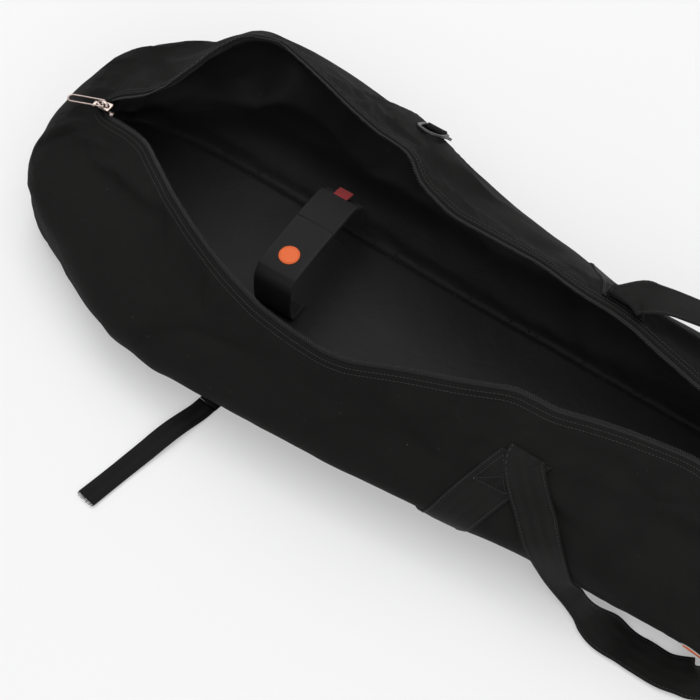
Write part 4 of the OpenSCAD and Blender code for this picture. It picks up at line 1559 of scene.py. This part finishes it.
# ---------------------------------------------------------------------------
# oval patch low on the near side
# ---------------------------------------------------------------------------
PATCH_X = 90.0
PATCH_DOWN = near.down_at_side(PATCH_X, 52) - 1.0
# share of the radius, height
PATCH_PROFILE = [(0.0, 1.45), (0.25, 1.44), (0.5, 1.42), (0.7, 1.40), (0.86, 1.34),
                 (0.94, 1.20), (0.985, 0.9), (1.0, 0.35), (0.985, -0.1)]


def oval(name, half_x, half_z, mat, height=1.0, lift=0.0):
    """Oval dome on the near wall; height scales its profile."""
    sides, n = 80, len(PATCH_PROFILE)
    turn = np.arange(sides) * 2 * np.pi / sides
    verts, shares, uv = [], [], []
    for r, up in PATCH_PROFILE:
        r = max(r, 1e-3)
        x, down = half_x * r * np.cos(turn), half_z * r * np.sin(turn)
        point, _, share = near.sample(PATCH_X + x, PATCH_DOWN + down, up * height + lift)
        verts.append(point)
        shares.append(share)
        uv.append(np.stack([x, down], -1))
    faces = grid_faces(n, sides, wrap=True)
    faces += [tuple(range(sides)), tuple(range((n - 1) * sides, n * sides))]
    ob = solid(name, np.stack(verts), faces, np.stack(uv), mat)
    follow_wall(ob, np.stack(shares))
    return ob


oval("side_patch_rim", 27.0, 19.0, LIGHT_RIM, height=0.7)
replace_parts(oval("side_patch_face", 24.6, 16.7, ORANGE, lift=0.25), "side_patch")

# ---------------------------------------------------------------------------
# stage, lights and camera, in metres
# ---------------------------------------------------------------------------
FLOOR_HALF, FLOOR_Z = 14, -0.0006
CAMERA_TARGET = Vector((-0.42812, -0.04170, 0.0))
CAMERA_BACK = Vector((0.30849, -0.44886, 0.83867)).normalized()   # from target to camera
CAMERA_DISTANCE = 2.8

scene = bpy.context.scene


def build_floor():
    me = bpy.data.meshes.new("floor")
    corners = [(x * FLOOR_HALF, y * FLOOR_HALF, FLOOR_Z)
               for x, y in ((-1, -1), (1, -1), (1, 1), (-1, 1))]
    me.from_pydata(corners, [], [(0, 1, 2, 3)])
    floor = link_object("floor", me)
    s = Shader("floor_paper")
    mottle = s.noise(s.object_coords(), scale=3.0, detail=3.0)
    color = s.mix(mottle, (0.49, 0.49, 0.488), (0.505, 0.505, 0.503))
    paper = s.finish(color, rough=0.8, spec=0.15)
    s.inputs["Emission Color"].default_value = (1, 1, 1, 1)
    s.inputs["Emission Strength"].default_value = 0.33
    me.materials.append(paper)


def area_light(name, location, target, size, power):
    light = bpy.data.lights.new(name, "AREA")
    light.shape = "RECTANGLE"
    light.size = size
    light.size_y = size
    light.energy = power
    ob = link_object(name, light)
    ob.location = location
    aim = Vector(target) - Vector(location)
    ob.rotation_euler = aim.to_track_quat("-Z", "Y").to_euler()


build_floor()

world = bpy.data.worlds.new("studio")
world.use_nodes = True
background = world.node_tree.nodes["Background"]
background.inputs["Color"].default_value = (0.985, 0.99, 1.0, 1)
background.inputs["Strength"].default_value = 0.62
scene.world = world

area_light("key", (-2.2, 1.6, 3.6), target=(-0.4, 0.0, 0.0), size=2.6, power=62)
area_light("fill", (1.9, -2.6, 2.6), target=(-0.4, 0.0, 0.0), size=2.4, power=34)
area_light("top", (-0.3, 0.1, 4.2), target=(-0.3, 0.0, 0.0), size=3.4, power=60)

lens = bpy.data.cameras.new("camera")
lens.lens = 129.6
lens.sensor_width = 36
lens.sensor_fit = "HORIZONTAL"
lens.clip_end = 60
camera = link_object("camera", lens)
camera.location = CAMERA_TARGET + CAMERA_BACK * CAMERA_DISTANCE
camera.rotation_euler = (-CAMERA_BACK).to_track_quat("-Z", "Y").to_euler()
scene.camera = camera
scene.view_settings.view_transform = "Standard"
scene.view_settings.look = "None"
